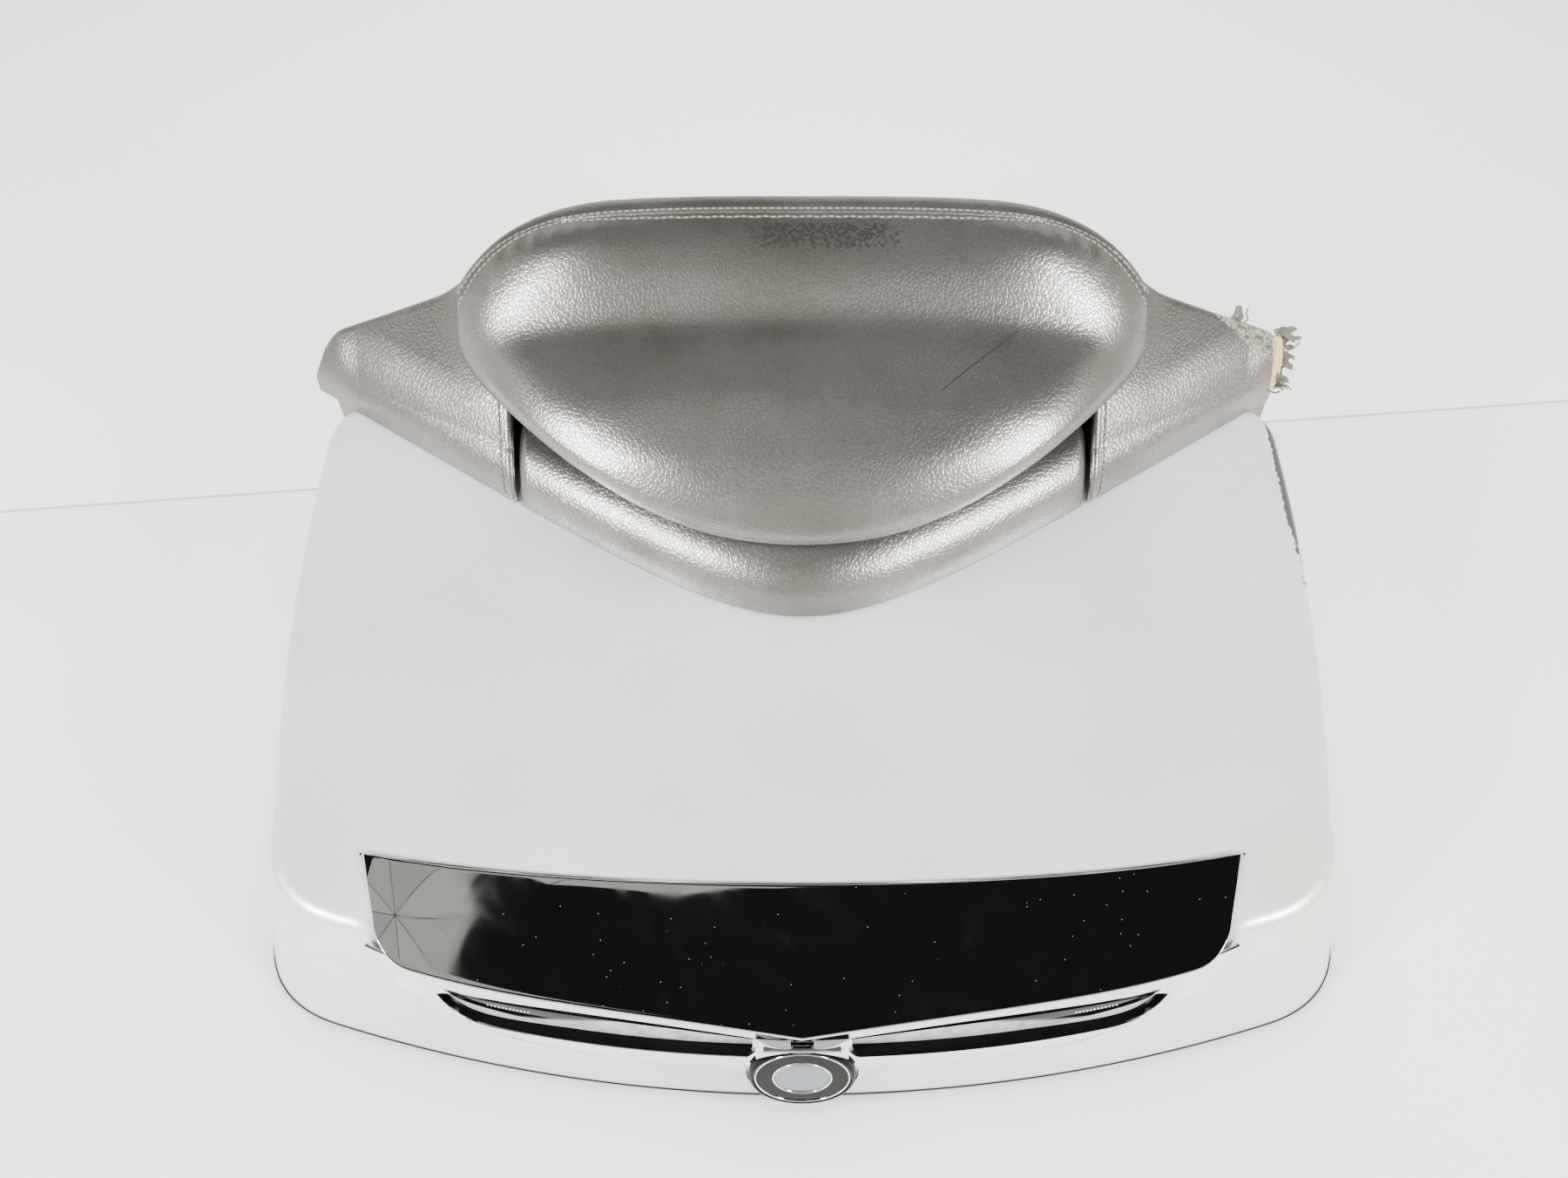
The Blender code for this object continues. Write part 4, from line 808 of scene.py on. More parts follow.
class TOPCASE_OT_stage(bpy.types.Operator):
    """Floor, soft lamps and the camera at the photograph's angle"""

    bl_idname = "topcase.stage"
    bl_label = "Stage"

    def execute(self, context):
        stage = context.scene.case_stage
        self.make_cove(context)
        world = bpy.data.worlds.new("studio")
        world.use_nodes = True
        world.node_tree.nodes["Background"].inputs["Color"].default_value = linear_rgb("#D8DCE2")
        world.node_tree.nodes["Background"].inputs["Strength"].default_value = 0.015 * stage.light
        context.scene.world = world
        lamps = (
            ("key_left", (-1.4, -1.1, 1.1), 0.5, 66, True),
            ("key_right", (1.4, -1.1, 1.1), 0.5, 66, True),
            ("ceiling", (0.0, 0.5, 2.6), 2.6, 160, False),
            ("softbox_front", (0.0, 2.2, 1.3), 1.6, 30, False),
        )
        for name, place, size, power, mirrored in lamps:
            light = bpy.data.lights.new(name, "AREA")
            light.shape = "DISK"
            light.size = size
            light.energy = power * stage.light
            lamp = bpy.data.objects.new(name, light)
            lamp.location = place
            lamp.visible_glossy = mirrored
            aim = np.array((0.0, 0.0, 0.1)) - np.array(place)
            tilt = atan2(np.hypot(aim[0], aim[1]), -aim[2])
            lamp.rotation_euler = (tilt, 0, atan2(-aim[0], aim[1]))
            context.scene.collection.objects.link(lamp)
        self.make_umbrella(context)
        lens = bpy.data.cameras.new("camera")
        lens.sensor_width = 36.0
        lens.lens = 27.0
        lens.shift_x = -21 / 1800
        camera = bpy.data.objects.new("camera", lens)
        camera.location = (0, -stage.distance, stage.height)
        camera.rotation_euler = (pi / 2 - stage.pitch, 0, 0)
        context.scene.collection.objects.link(camera)
        context.scene.camera = camera
        return {"FINISHED"}

    def make_cove(self, context):
        """Table top that sweeps up into a round backdrop: a curve of radius and height turned about +Z."""
        turn = full_turn(96)
        bend = np.linspace(0, pi / 2, 12)
        reach = np.concatenate([[0.0, 1.5], COVE_RADIUS - 1.0 + np.sin(bend), [COVE_RADIUS]])
        rise = np.concatenate([[0.0, 0.0], 1 - np.cos(bend), [COVE_HEIGHT]])
        points = points_of(reach[:, None] * np.cos(turn), reach[:, None] * np.sin(turn), rise[:, None])
        mesh = bpy.data.meshes.new("table_top")
        quads = grid_quads(len(reach), len(turn), closed=True)
        mesh.from_pydata(points.reshape(-1, 3).tolist(), [], quads.tolist())
        mesh.materials.append(painted_board(context.scene.case_colours))
        mesh.shade_smooth()
        cove = bpy.data.objects.new("table_top", mesh)
        context.scene.collection.objects.link(cove)

    def make_umbrella(self, context):
        """Eight-sided white reflector behind the camera, which the mirror plate shows at its left end."""
        towards = unit(UMBRELLA_AIM - UMBRELLA_CENTRE)
        side = unit(np.cross(towards, (0.0, 0.0, 1.0)))
        up = np.cross(side, towards)
        turn = np.arange(8) * pi / 4 + 0.3
        spokes = np.cos(turn)[:, None] * side + np.sin(turn)[:, None] * up
        rim = UMBRELLA_CENTRE + UMBRELLA_RADIUS * spokes
        hub = np.tile(UMBRELLA_CENTRE - 0.05 * towards, (8, 1))
        panels = np.stack([hub, rim, np.roll(rim, -1, axis=0)], axis=1)
        centres = panels.mean(axis=1, keepdims=True)
        panels = centres + 0.975 * (panels - centres)
        mesh = bpy.data.meshes.new("umbrella")
        mesh.from_pydata(panels.reshape(-1, 3).tolist(), [], np.arange(24).reshape(8, 3).tolist())
        for strength in (0.46, 0.58, 0.52):
            mesh.materials.append(plain_finish("umbrella_cloth", "#202020", 0.9, 20, 0.01, {
                "Emission Color": linear_rgb("#E8E2D6"), "Emission Strength": strength}))
        mesh.polygons.foreach_set("material_index", np.array((0, 1, 2, 0, 1, 2, 1, 2), dtype=np.int32))
        umbrella = bpy.data.objects.new("umbrella", mesh)
        umbrella.visible_camera = False
        umbrella.visible_shadow = False
        umbrella.visible_diffuse = False
        context.scene.collection.objects.link(umbrella)


class TOPCASE_OT_lid(bpy.types.Operator):
    """Painted lid as one closed skin, with chips along its right edge, a rubber rim bead and a finger lip"""

    bl_idname = "topcase.lid"
    bl_label = "Lid"

    def execute(self, context):
        sizes = context.scene.case_sizes
        wall = sizes.lid_wall / MM
        radius = sizes.shoulder / MM
        outer = lid_side(0.0, radius, 26, 44)
        inner = lid_side(wall, radius - wall, 12, 18)
        skins = np.concatenate([inner[::-1], outer])
        lid = make_round("lid_skin", skins, "paint", "silver_paint", ["lid_shell"])
        x, y, z = places_of(lid).T
        edge = bell(x - CHIP_X, 4.0) * smooth_step(y, 42, 56) * (1 - smooth_step(y, 172, 182))
        high = smooth_step(z, lid_top(x, y) - 13, lid_top(x, y) - 6)
        set_mask(lid, "chip", edge * high * (0.5 + 0.5 * smooth_step(y, 74, 96)))
        away = np.hypot(x - 268, y + 122)
        set_mask(lid, "stain", 0.5 * bell(away, 34))
        plan = plan_outline(RIM_PLAN)
        rim = np.column_stack([plan, rim_height(plan[:, 1]) + 0.3])
        ring = np.concatenate([rim, rim[:1]])
        up = np.tile((0.0, 0.0, 1.0), (len(ring), 1))
        across = unit(np.cross(along(ring), up))
        make_round("rim_edge", sweep(ring, across, up, 0.7, 0.5, 8)[1:-1], "rubber", "rubber")
        x = np.linspace(-56, 56, 81)
        swell = np.sqrt(np.clip(1 - (x / 56) ** 2, 0, 1))
        lip = np.column_stack([x, -200 + REAR_BOW * x * x - 1.6 * swell, np.full_like(x, RIM_Z - 1.0)])
        up = np.tile((0.0, 0.0, 1.0), (len(x), 1))
        tube = sweep(lip, np.cross(along(lip), up), up, 2.0, 0.8, 12)
        make_round("finger_lip", tube, "paint", "silver_paint")
        return {"FINISHED"}


class TOPCASE_OT_trim(bpy.types.Operator):
    """Mirror plate with a rolled lip, and the hood round the two lamp slots"""

    bl_idname = "topcase.trim"
    bl_label = "Bright trim"

    def execute(self, context):
        self.make_plate()
        self.make_hood()
        return {"FINISHED"}

    def make_plate(self):
        """Bent sheet: flat mirror face, bevelled top and ends, round lower corners and a rolled lip."""
        share = np.linspace(-1, 1, 241)
        share = np.sign(share) * (1 - (1 - np.abs(share)) ** 1.5)
        turn = np.clip((np.abs(share) - 0.9) / 0.1, 0, 1) * pi / 2
        straight = np.minimum(np.abs(share), 0.9) / 0.9 * (PLATE_LOW_HALF - PLATE_CORNER)
        low_x = np.sign(share) * (straight + PLATE_CORNER * np.sin(turn))
        low_y = plate_low_y(low_x) + PLATE_CORNER * (1 - np.cos(turn))
        high_x = PLATE_TOP_HALF * share
        high_y = -127.0 + 17.0 * share**2
        across = np.concatenate([np.zeros(6), np.linspace(0, 0.9, 24), np.linspace(0.91, 1, 10)])
        x = low_x[:, None] + (high_x - low_x)[:, None] * across
        y = low_y[:, None] + (high_y - low_y)[:, None] * across
        z = lid_top(x, y) + PLATE_LIFT
        z = z - edge_cut((1 - np.abs(share)) * PLATE_TOP_HALF, 3.2, 1.25)[:, None]
        z = z - edge_cut((high_y - low_y)[:, None] * (1 - across), 2.4, 0.8)
        lip = np.concatenate([np.linspace(130, 0, 6), np.zeros(34)]) * pi / 180
        tuck = PLATE_LIP * np.sin(lip) * np.cos(turn)[:, None]
        fall = PLATE_LIP * (1 - np.cos(lip)) * (0.35 + 0.65 * np.cos(turn)[:, None])
        face = points_of(x, y - tuck, z - fall)
        inward = np.where(lip > 0, 1.2 * np.sin(lip), 0.0) + 0 * x
        deep = np.maximum(face[..., 2] - 1.7 * np.cos(lip), lid_top(x, y) + 0.4)
        back = points_of(x, face[..., 1] + inward, np.where(lip > 1.6, face[..., 2] + 0.8, deep))
        make_slab("mirror_plate", face, back, "chrome", "chrome", ["trim_plate"], 55)

    def make_hood(self):
        """Each half is a ring of rows, from inside the lamp slot over its edge and out to the border."""
        runs = (110, 16, 110, 16)
        turn = [np.linspace(0, 1, count, endpoint=False) for count in runs]
        ease = 0.5 - 0.5 * np.cos(pi * turn[0])
        x_high = between(SLOT_OUTER_X, SLOT_INNER_X, ease)
        x_low = between(SLOT_INNER_X, SLOT_OUTER_X, ease)
        inner_end = between(slot_high_z(SLOT_INNER_X), slot_low_z(SLOT_INNER_X), turn[1])
        tip = between(slot_low_z(SLOT_OUTER_X), slot_high_z(SLOT_OUTER_X), turn[3])
        slot_x = np.concatenate([x_high, np.full(runs[1], SLOT_INNER_X),
                                 x_low, np.full(runs[3], SLOT_OUTER_X)])
        slot_z = np.concatenate([slot_high_z(x_high), inner_end, slot_low_z(x_low), tip])
        far_high = HOOD_HALF * (1 - ease)
        far_low = HOOD_HALF * ease
        top_z = hood_high_z(0.0) + 1.0
        middle = between(top_z, hood_low_z(0.0), turn[1])
        end = between(hood_low_z(HOOD_HALF), hood_high_z(HOOD_HALF) + 1.0, turn[3])
        far_x = np.concatenate([far_high, np.zeros(runs[1]), far_low, np.full(runs[3], HOOD_HALF)])
        far_z = np.concatenate([hood_high_z(far_high) + 1.0, middle, hood_low_z(far_low), end])
        high = np.clip(slot_share(slot_x, slot_z), 0, 1)
        ledge = between(LENS_LOW_DEPTH, LENS_HIGH_DEPTH, high) + 2.0
        rows = []
        for share, draw in ((1.0, 0.4), (0.7, 0.35), (0.35, 0.3), (0.12, 0.2), (0.03, 0.08)):
            z = slot_z + draw * (1 - 2 * high)
            rows.append(points_of(slot_x, trim_face(slot_x, slot_z) + ledge * share, z))
        for share in np.linspace(0, 1, 14):
            x = between(slot_x, far_x, share)
            z = between(slot_z, far_z, share)
            rows.append(points_of(x, trim_face(x, z) - 0.7 * np.sin(pi * share), z))
        low_run = np.concatenate([np.zeros(runs[0] + runs[1]), np.ones(runs[2] + runs[3])])
        for back, down in ((0.7, 0.3), (2.6, 0.5)):
            set_back = trim_face(far_x, far_z) + back * low_run
            rows.append(points_of(far_x, set_back, far_z - down * low_run))
        right = np.array(rows)
        ring = grid_quads(right.shape[0], right.shape[1], closed=True)
        points = np.concatenate([right.reshape(-1, 3), (right * (-1, 1, 1)).reshape(-1, 3)])
        quads = np.concatenate([ring, ring[:, ::-1] + right.shape[0] * right.shape[1]])
        hood = make_piece("lamp_hood", points, quads, "chrome", "chrome", ["trim_hood"], 50)
        face_rearward(hood)
        wall = hood.modifiers.new("Sheet", "SOLIDIFY")
        wall.thickness = 1.4 * MM
        wall.offset = -1.0


class TOPCASE_OT_lamps(bpy.types.Operator):
    """Smoked lenses with moulded flutes, and the light sources behind them"""

    bl_idname = "topcase.lamps"
    bl_label = "Lamps"

    def execute(self, context):
        count = context.scene.case_sizes.lamp_count
        for side, label in SIDES:
            u, v = grid_of(np.linspace(0, 1, 241), np.linspace(-0.12, 1.12, 25))
            x = SLOT_INNER_X - 3 + (SLOT_OUTER_X - SLOT_INNER_X + 5) * u
            held = np.clip(x, SLOT_INNER_X, SLOT_OUTER_X)
            z = between(slot_low_z(held), slot_high_z(held), v)
            front = points_of(side * x, lens_face(x, v), z)
            flute = 0.4 * np.abs(np.sin(pi * x / 5.0))
            back = front + points_of(0.0, 1.3 + flute, 0.0)
            lens = make_slab("lens_" + label, front, back, "lens", "clear_lens", ["lamp_lens_" + label])
            lens_x, lens_z = np.abs(places_of(lens)).T[::2]
            share = slot_share(np.clip(lens_x, SLOT_INNER_X, SLOT_OUTER_X), lens_z)
            # haze: where a painted reflection streak lies on the lens, fading outward and up the slot
            set_mask(lens, "haze", smooth_step((176 - lens_x) / 88 - share, -0.06, 0.12))
            near, far = self.bed_faces(side, (-0.2, 1.2), (4.4, 5.6))
            make_slab("lamp_tray_" + label, near, far, "abs", "black_plastic", ["lamp_case_" + label])
            near, far = self.bed_faces(side, (0.3, 0.75), (2.6, 3.6))
            make_slab("lamp_strip_" + label, near, far, "board", "circuit_board", ["lamp_board_" + label])
            self.make_gasket(side, label)
            self.make_sources(side, label, count)
        return {"FINISHED"}

    def bed_faces(self, side, shares, depths):
        """Two grids behind a lens, between two shares of its height and at two depths."""
        x, v = grid_of(np.linspace(SLOT_INNER_X - 2, SLOT_OUTER_X - 2, 81), np.linspace(*shares, 9))
        held = np.clip(x, SLOT_INNER_X, SLOT_OUTER_X)
        z = between(slot_low_z(held), slot_high_z(held), v)
        return [points_of(side * x, lens_face(x, v) + depth, z) for depth in depths]

    def make_gasket(self, side, label):
        """Black strip on the slot's ledge, from just behind the hood's face to under the lens."""
        x, d = grid_of(np.linspace(SLOT_INNER_X, SLOT_OUTER_X - 0.5, 161),
                       np.linspace(0.4, LENS_LOW_DEPTH + 0.6, 7))
        z = slot_low_z(x) + 0.5
        top, low = (points_of(side * x, trim_face(x, z) + d, z - depth) for depth in (0.0, 0.6))
        make_slab("lamp_gasket_" + label, top, low, "gloss", "black_plastic")

    def make_sources(self, side, label, count):
        """Low domes in a row along the board, each a grid of angle and height."""
        at = np.linspace(146, 168, count)
        share = np.full(count, 0.62)
        high = between(slot_low_z(at), slot_high_z(at), share)
        rise, turn = grid_of(np.linspace(0, pi / 2, 5), full_turn(10))
        level = np.cos(rise)
        dome = points_of(level * np.cos(turn), -1.2 * np.sin(rise), level * np.sin(turn))
        dome = np.concatenate([dome[:1] * 0, 0.6 * dome])
        seat = points_of(side * at, lens_face(at, share) + 0.2, high)
        domes = joined(seat[:, None, None] + dome[None])
        make_piece("lamp_sources_" + label, *domes, "lamp", "clear_lens")


class TOPCASE_OT_badge(bpy.types.Operator):
    """Round lock cover with a plain middle, its bright ring and the yoke that it flips in"""

    bl_idname = "topcase.badge"
    bl_label = "Lock cover"

    def execute(self, context):
        cap = [(0, -5.9), (27.2, -5.9), (28.2, -5.4), (28.5, -4.4), (28.5, -2.6), (28.2, -1.5), (27.5, -0.7),
               (26.7, -0.4), (26.0, -0.7), (25.8, -1.3), (16.2, -1.2), (16.2, -2.4), (0, -2.4)]
        make_round("cover_cap", turned_points(cap), "gloss", "black_plastic", ["badge_cap"], "badge")
        for name, inner, outer, low, nodes in (("cover_ring", 14.9, 16.0, -2.2, ["badge_ring"]),
                                               ("cover_edge_ring", 24.5, 25.6, -1.2, [])):
            mid = (inner + outer) / 2
            ring = [(inner, low), (inner, -1.0), (inner + 0.2, -0.7), (mid, -0.55), (outer - 0.2, -0.7),
                    (outer, -1.0), (outer, low), (inner, low)]
            make_round(name, turned_points(ring), "chrome", "chrome", nodes, "badge")
        face = [(0, -2.2), (14.7, -2.2), (14.7, -1.2), (14.4, -0.9), (10, -0.4), (5, -0.1), (0, 0.0)]
        make_round("cover_disc", turned_points(face), "disc", "silver_paint", ["badge_face"], "badge")
        across, turn = grid_of(np.linspace(-4.8, 4.8, 9), full_turn(25))
        lug = points_of(across, -198.6 + 1.7 * np.cos(turn), 72.6 + 2.8 * np.sin(turn))
        make_round("cover_lug", capped(lug), "gloss", "black_plastic", body="badge")
        self.make_yoke()
        self.make_collar()
        return {"FINISHED"}

    def make_yoke(self):
        """Bridge from the hood's brow to the collar, with a bright lobe on each side of the lug's slot."""
        edge = np.linspace(5.9, 24, 40)
        x = np.concatenate([-edge[::-1], np.linspace(-5.6, 5.6, 15), edge])
        v = np.linspace(0, 1, 31)
        x, v = grid_of(x, v)
        low = 43.0 + np.sqrt(31.0**2 - x**2) * 0.97
        z = low + (79.5 - low) * v
        lobe = np.sqrt(np.clip(1 - ((np.abs(x) - 15) / 9.5) ** 2, 0, 1))
        lobe = lobe * np.sqrt(np.clip(1 - (2 * v - 1) ** 2, 0, 1))
        slot = np.where((np.abs(x) < 5.8) & (v > 0.05), 5.0, 0.0)
        y = -200.0 + 4.8 * v**1.8 - 0.9 * lobe + slot
        front = points_of(x, y, z)
        back = points_of(x, -190.5, z)
        make_slab("cover_yoke", front, back, "chrome", "chrome", ["badge_yoke"], 50)

    def make_collar(self):
        """Bright ring round the cover, open at the top for the lug."""
        turn, section = grid_of(np.linspace(radians(16), radians(344), 120), full_turn(18))
        collar = on_axis(30.2 + 1.2 * np.cos(section), -7.6 + 3.2 * np.sin(section), turn)
        make_round("lock_collar", capped(collar), "chrome", "chrome")


class TOPCASE_OT_pad(bpy.types.Operator):
    """Rear pad and front cushion of the backrest"""

    bl_idname = "topcase.pad"
    bl_label = "Backrest"

    def execute(self, context):
        edge = context.scene.case_sizes.pad_edge / MM
        u = np.sin(np.linspace(-1, 1, 361) * pi / 2)
        v = 0.5 - 0.5 * np.cos(np.linspace(0, 1, 121) * pi)
        x, s = grid_of(PAD_HALF * u, v)
        y = between(pad_low_y(x), pad_high_y(x), s)
        top = pad_top(x, y, edge)
        distance = y - bolster_edge_y(x)
        roll = np.where(distance < BOLSTER_DEPTH + 20, roll_rise(distance, BOLSTER_ROLL), 0)
        under = lid_top(x, y) + 3.5 + roll
        thick = 26 + 100 * (1 - smooth_step(np.abs(x), 120, 158))
        low = np.maximum(under, pad_body(x, y) - thick)
        thin = 1 - smooth_step(y - pad_low_y(x), 0, 22)
        low = np.minimum(low + edge_drop(PAD_HALF - np.abs(x), 10), top - 3)
        face, back = (points_of(x, y, z) for z in (top, between(low, top - 3, thin)))
        pad = make_slab("rear_pad", face, back, "vinyl", "pearl_vinyl", ["backrest_pad"])
        px, py = places_of(pad).T[:2]
        rub = smooth_step(px, -66, -18) * (1 - smooth_step(px, 40, 96)) * smooth_step(py, 164, 180)
        set_mask(pad, "wear", rub * (1 - smooth_step(py, 188, 199)))
        self.make_front()
        return {"FINISHED"}

    def make_front(self):
        """Crowned cushion of the backrest's outline: its depth falls away to the border."""
        u, v = grid_of(np.sin(np.linspace(-1, 1, 201) * pi / 2), np.linspace(0, 1, 101))
        v = 0.5 - 0.5 * np.cos(pi * v)
        x = (SILHOUETTE_X[-1] - 1) * u
        z = between(FRONT_LOW_Z, front_top(x), v)
        crown = np.sqrt(np.clip(1 - np.abs(2 * v - 1) ** 4, 0, 1))
        crown = crown * np.sqrt(np.clip(1 - np.abs(u) ** 6, 0, 1))
        front = points_of(x, FRONT_BACK_Y + 5 + FRONT_DEPTH * crown, z)
        back = points_of(x, FRONT_BACK_Y, z)
        cushion = make_slab("front_cushion", front, back, "vinyl", "pearl_vinyl", ["backrest_front"])


class TOPCASE_OT_bolsters(bpy.types.Operator):
    """V-shaped bolster at the backrest's foot: a middle roll and two wings"""

    bl_idname = "topcase.bolsters"
    bl_label = "Bolsters"

    def execute(self, context):
        self.make_middle()
        for side, label in SIDES:
            self.make_wing(side, label)
        return {"FINISHED"}

    def make_middle(self):
        """Rounded rear edge that runs back flat under the pad."""
        u, v = grid_of(np.sin(np.linspace(-1, 1, 181) * pi / 2), np.linspace(0, 1, 71))
        x = BOLSTER_SPLIT_X * u
        distance = BOLSTER_DEPTH * v**2.4
        y = bolster_edge_y(x) + distance
        foot = lid_top(x, y) + 1
        end = edge_drop(BOLSTER_SPLIT_X - np.abs(x), 6)
        top = foot + np.maximum(roll_rise(distance, BOLSTER_ROLL) - end, 2)
        face, back = (points_of(x, y, z) for z in (top, foot))
        roll = make_slab("bolster_middle", face, back, "vinyl", "pearl_vinyl", ["bolster_center"])

    def make_wing(self, side, label):
        """Same rounded edge, with a face that climbs to the backrest's outline and a rounded outer end."""
        a, v = grid_of(np.sin(np.linspace(0, pi / 2, 121)), np.linspace(0, 1, 91) ** 1.7)
        end, soft = (TORN_END_X, TORN_SOFT) if side > 0 else (WING_END_X, WING_SOFT)
        x = between(WING_START_X, end, a)
        y, foot, top = wing_surface(x, v, end, soft)
        face, back = (points_of(side * x, y, z) for z in (top, foot))
        wing = make_slab("wing_" + label, face, back, "vinyl", "pearl_vinyl", ["bolster_" + label])
        if side > 0:
            px, py, pz = places_of(wing).T
            share = (py - bolster_edge_y(px)) / (BACK_SPLIT_Y - bolster_edge_y(px))
            upper = pz > lid_top(px, py) + 4
            set_mask(wing, "bare", np.where(upper, smooth_step(share - 1 + (px - 252) / 78, -0.06, 0.12), 0))


class TOPCASE_OT_seams(bpy.types.Operator):
    """Binding over the backrest's top joint, hems of the wings and their stitch rows"""

    bl_idname = "topcase.seams"
    bl_label = "Seams"

    def execute(self, context):
        sizes = context.scene.case_sizes
        edge = sizes.pad_edge / MM
        x = np.linspace(-PAD_HALF + 1, PAD_HALF - 1, 600)
        y = pad_high_y(x)
        slim = smooth_step(np.abs(x), 110, 200)
        wide = 8.5 - 5.5 * slim
        high = 5.2 - 2.4 * slim
        corner = soft_fall(PAD_HALF - np.abs(x), edge)
        crest = points_of(x, y + 2.0 - 3.5 * slim, pad_body(x, y) - 1.8 - 1.6 * slim - corner)
        flat = along(crest * (1, 1, 0.0))
        across = points_of(-flat[:, 1], flat[:, 0], 0.0)
        out = unit(np.cross(along(crest), across))
        make_round("top_binding", sweep(crest, across, out, wide, high, 28), "vinyl", "pearl_vinyl")
        angle = radians(140)
        wide = wide[:, None]
        high = high[:, None]
        rows = [(crest + across * wide * np.cos(angle) + out * high * np.sin(angle),
                 unit(across * np.cos(angle) / wide + out * np.sin(angle) / high))]
        y = pad_high_y(x) - 10.5 + 2.0 * slim
        slope = (pad_top(x, y + 1, edge) - pad_top(x, y - 1, edge)) / 2
        rows.append((points_of(x, y, pad_top(x, y, edge)),
                     unit(points_of(0.0, -slope, np.ones_like(x)))))
        self.sew("pad_stitches", rows, sizes)
        hems = []
        for side, label in SIDES:
            v = np.linspace(0, 0.42, 160) ** 1.3
            for offset, half in ((2.4, 2.4), (7.6, 0.0)):
                x = np.full_like(v, WING_START_X + offset)
                y, top = wing_surface(x, v, WING_END_X, WING_SOFT)[::2]
                path = points_of(side * x, y, top)
                out = unit(np.cross(along(path), np.array((-1.0, 0.0, 0.0))))
                if half:
                    hem = sweep(path, np.tile((1.0, 0.0, 0.0), (len(v), 1)), out, half, 1.5, 16)
                    make_round("hem_" + label, hem, "vinyl", "pearl_vinyl")
                else:
                    hems.append((path, out))
        self.sew("hem_stitches", hems, sizes)
        return {"FINISHED"}

    def sew(self, name, rows, sizes):
        """Stitches at an even pitch along each row of places and outward directions, over a dark line of
        needle holes and painted groove shade.
        """
        beads = []
        grooves = []
        for path, out in rows:
            both = np.concatenate([path, out], axis=1)
            lengths = np.concatenate([[0], np.cumsum(np.linalg.norm(np.diff(path, axis=0), axis=1))])
            at = np.arange(2.0, lengths[-1], sizes.stitch_pitch / MM)
            spaced = np.stack([np.interp(at, lengths, both[:, k]) for k in range(6)], axis=-1)
            beads.extend(stitches(spaced[:, :3] + spaced[:, 3:] * 0.15, unit(spaced[:, 3:]),
                                  sizes.stitch_length / MM, STITCH_RADIUS))
            side = unit(np.cross(along(path), out))
            # dark ribbon: needle holes and painted shade of the stitch groove
            grooves.append(sweep(path, side, out, 0.7, 0.22, 8))
        make_piece(name, *joined(beads), "thread", "pearl_vinyl")
        make_piece(name + "_line", *joined(grooves), "needle_line", "pearl_vinyl")


class TOPCASE_OT_tear(bpy.types.Operator):
    """Torn end of the right wing: bare foam and shreds of its backing"""

    bl_idname = "topcase.tear"
    bl_label = "Torn end"

    def execute(self, context):
        rise, turn = grid_of(np.linspace(-pi / 2, pi / 2, 25), full_turn(40))
        wide = np.array((0.0, -0.925, 0.38))
        wave = 1 + 0.10 * np.sin(5 * turn + 2) * np.cos(rise)
        points = FOAM_CENTRE + 20.0 * np.sin(rise)[..., None] * TORN_SLANT
        points = points + (6.5 * wave * np.cos(rise) * np.cos(turn))[..., None] * wide
        points = points + (5.0 * wave * np.cos(rise) * np.sin(turn))[..., None] * np.array((1.0, 0.0, 0.0))
        make_round("bare_foam", points, "foam", "pearl_vinyl")
        self.make_shreds()
        return {"FINISHED"}

    def make_shreds(self):
        """Curled strips: each is a short oval tube that starts on the torn rim and bends away by a sine."""
        rng = np.random.default_rng(7)
        t = np.linspace(0, 1, 12)[:, None]
        strips = []
        for k in range(SHRED_COUNT):
            share = rng.uniform(-0.9, 0.9)
            start = SHRED_CENTRE + 21.0 * share * TORN_SLANT
            start = start + rng.uniform(-3, 3, 3)
            heading = unit(np.array((rng.uniform(0.3, 1.0), rng.uniform(-0.5, 0.6), rng.uniform(-0.5, 0.7))))
            if k < TOP_SHREDS:
                start = np.array((272.0 + 2 * k, 204.0, 226.0 - 0.7 * k))
                heading = unit(np.array((rng.uniform(-0.3, 0.3), 0.1, 1.0)))
            length = rng.uniform(3, 13) if k >= TOP_SHREDS else rng.uniform(6, 11)
            bend = rng.uniform(-1, 1, 3) * length * 0.25
            path = start + heading * length * t + bend * np.sin(pi * t)
            path = path + bend[::-1] * 0.4 * np.sin(2.5 * pi * t)
            side = unit(np.cross(along(path), rng.normal(size=3)))
            out = np.cross(along(path), side)
            width = rng.uniform(0.5, 2.8)
            strips.append(sweep(path, side, out, width, 0.5, 6))
        make_piece("torn_backing", *joined(strips), "backing", "pearl_vinyl")


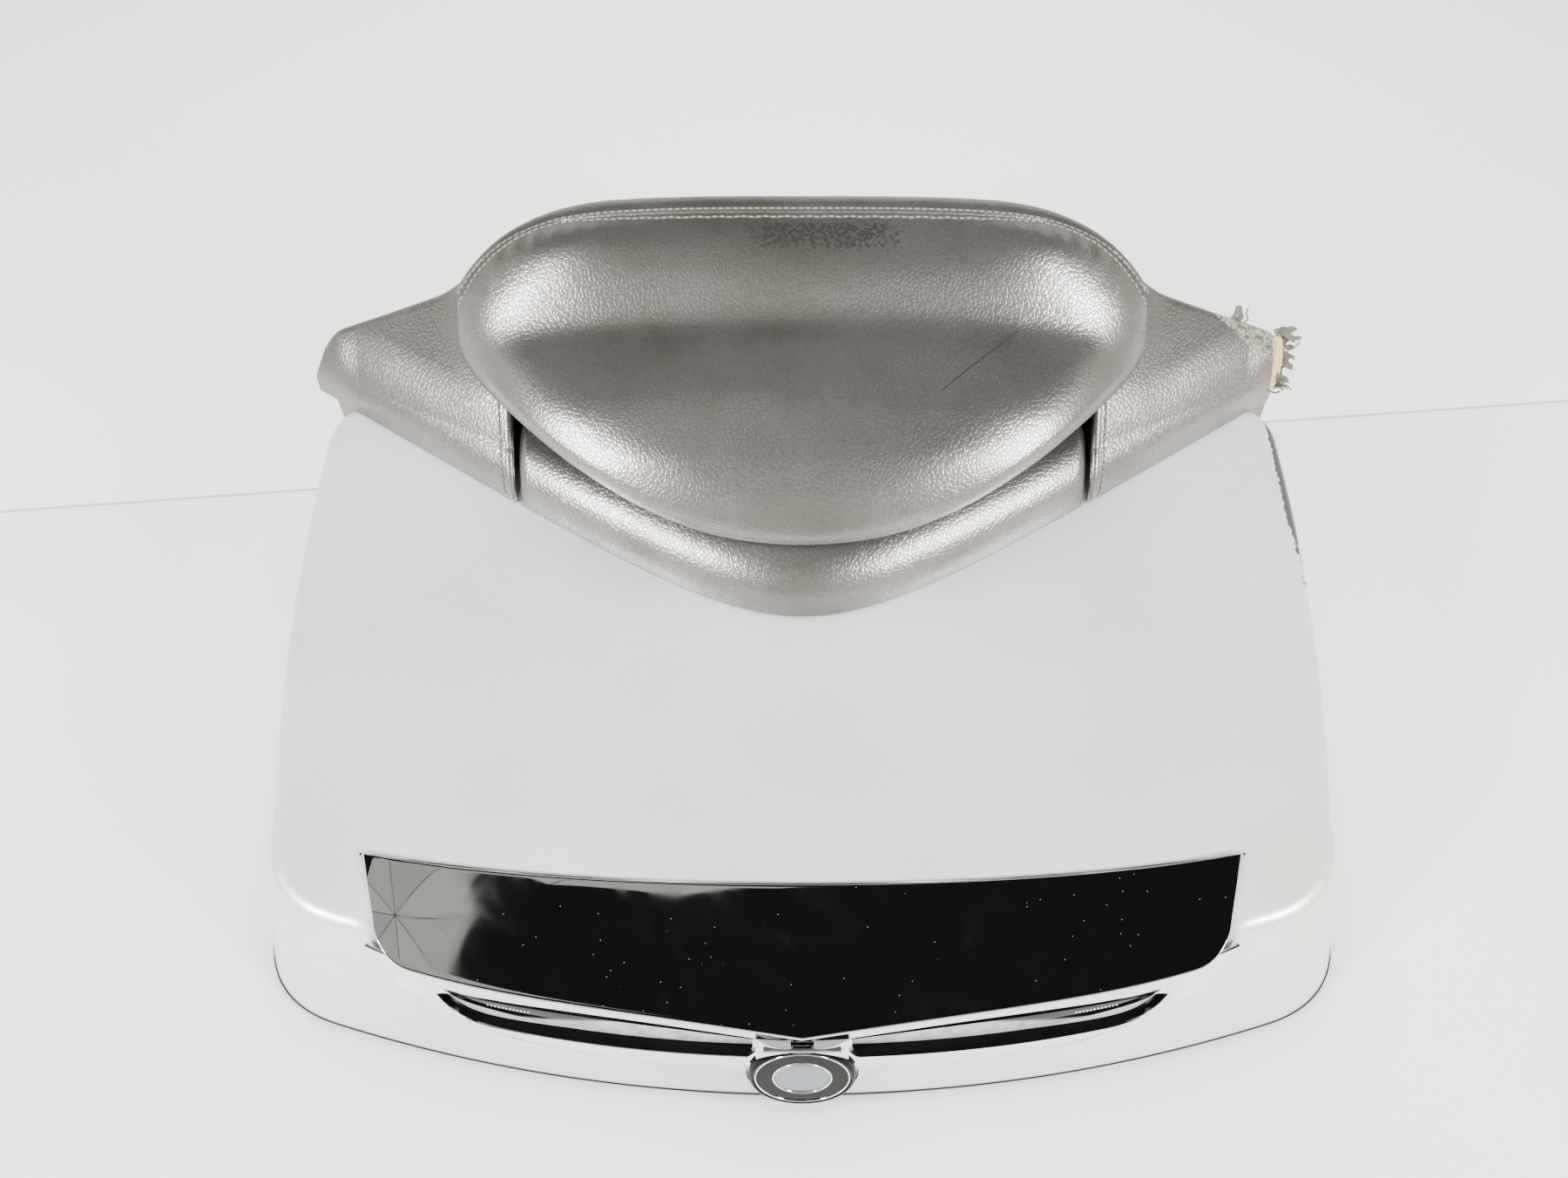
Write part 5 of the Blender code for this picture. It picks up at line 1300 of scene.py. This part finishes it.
class TOPCASE_OT_fittings(bpy.types.Operator):
    """Finishes of the pieces that keep their CAD shape: pan, hinges, lock, lamp trays and fasteners"""

    bl_idname = "topcase.fittings"
    bl_label = "Fittings"

    def execute(self, context):
        by_slot = {
            "chrome": "chrome", "black_plastic": "abs", "rubber": "rubber", "needle_felt": "felt",
            "circuit_board": "board", "brass": "brass", "zinc_steel": "steel", "silver_paint": "paint",
            "pearl_vinyl": "vinyl", "clear_lens": "lens",
        }
        for subpart in frame["record"]["subparts"]:
            node = frame["nodes"][subpart["node"]]
            node.data.materials.clear()
            node.data.materials.append(FINISHES[by_slot[subpart["material_slot"]]])
        return {"FINISHED"}


class TOPCASE_PT_panel(bpy.types.Panel):
    """Lists the pieces of the top case in the sidebar"""

    bl_label = "Top Case"
    bl_idname = "TOPCASE_PT_panel"
    bl_space_type = "VIEW_3D"
    bl_region_type = "UI"
    bl_category = "Top Case"

    def draw(self, context):
        for step in STEPS:
            self.layout.operator(step.bl_idname)


GROUPS = (CaseSizes, CaseColours, CaseStage)
STEPS = (
    TOPCASE_OT_stage, TOPCASE_OT_fittings, TOPCASE_OT_lid, TOPCASE_OT_trim, TOPCASE_OT_lamps,
    TOPCASE_OT_badge, TOPCASE_OT_pad, TOPCASE_OT_bolsters, TOPCASE_OT_seams, TOPCASE_OT_tear,
)
FINISHES = {}


def register():
    for kind in GROUPS + STEPS + (TOPCASE_PT_panel,):
        bpy.utils.register_class(kind)
    bpy.types.Scene.case_sizes = PointerProperty(type=CaseSizes)
    bpy.types.Scene.case_colours = PointerProperty(type=CaseColours)
    bpy.types.Scene.case_stage = PointerProperty(type=CaseStage)


def unregister():
    del bpy.types.Scene.case_stage
    del bpy.types.Scene.case_colours
    del bpy.types.Scene.case_sizes
    for kind in reversed(GROUPS + STEPS + (TOPCASE_PT_panel,)):
        bpy.utils.unregister_class(kind)


def main():
    register()
    FINISHES.update(make_finishes(bpy.context.scene.case_colours))
    bpy.ops.topcase.stage()
    bpy.ops.topcase.fittings()
    bpy.ops.topcase.lid()
    bpy.ops.topcase.trim()
    bpy.ops.topcase.lamps()
    bpy.ops.topcase.badge()
    bpy.ops.topcase.pad()
    bpy.ops.topcase.bolsters()
    bpy.ops.topcase.seams()
    bpy.ops.topcase.tear()


if __name__ == "__main__":
    main()
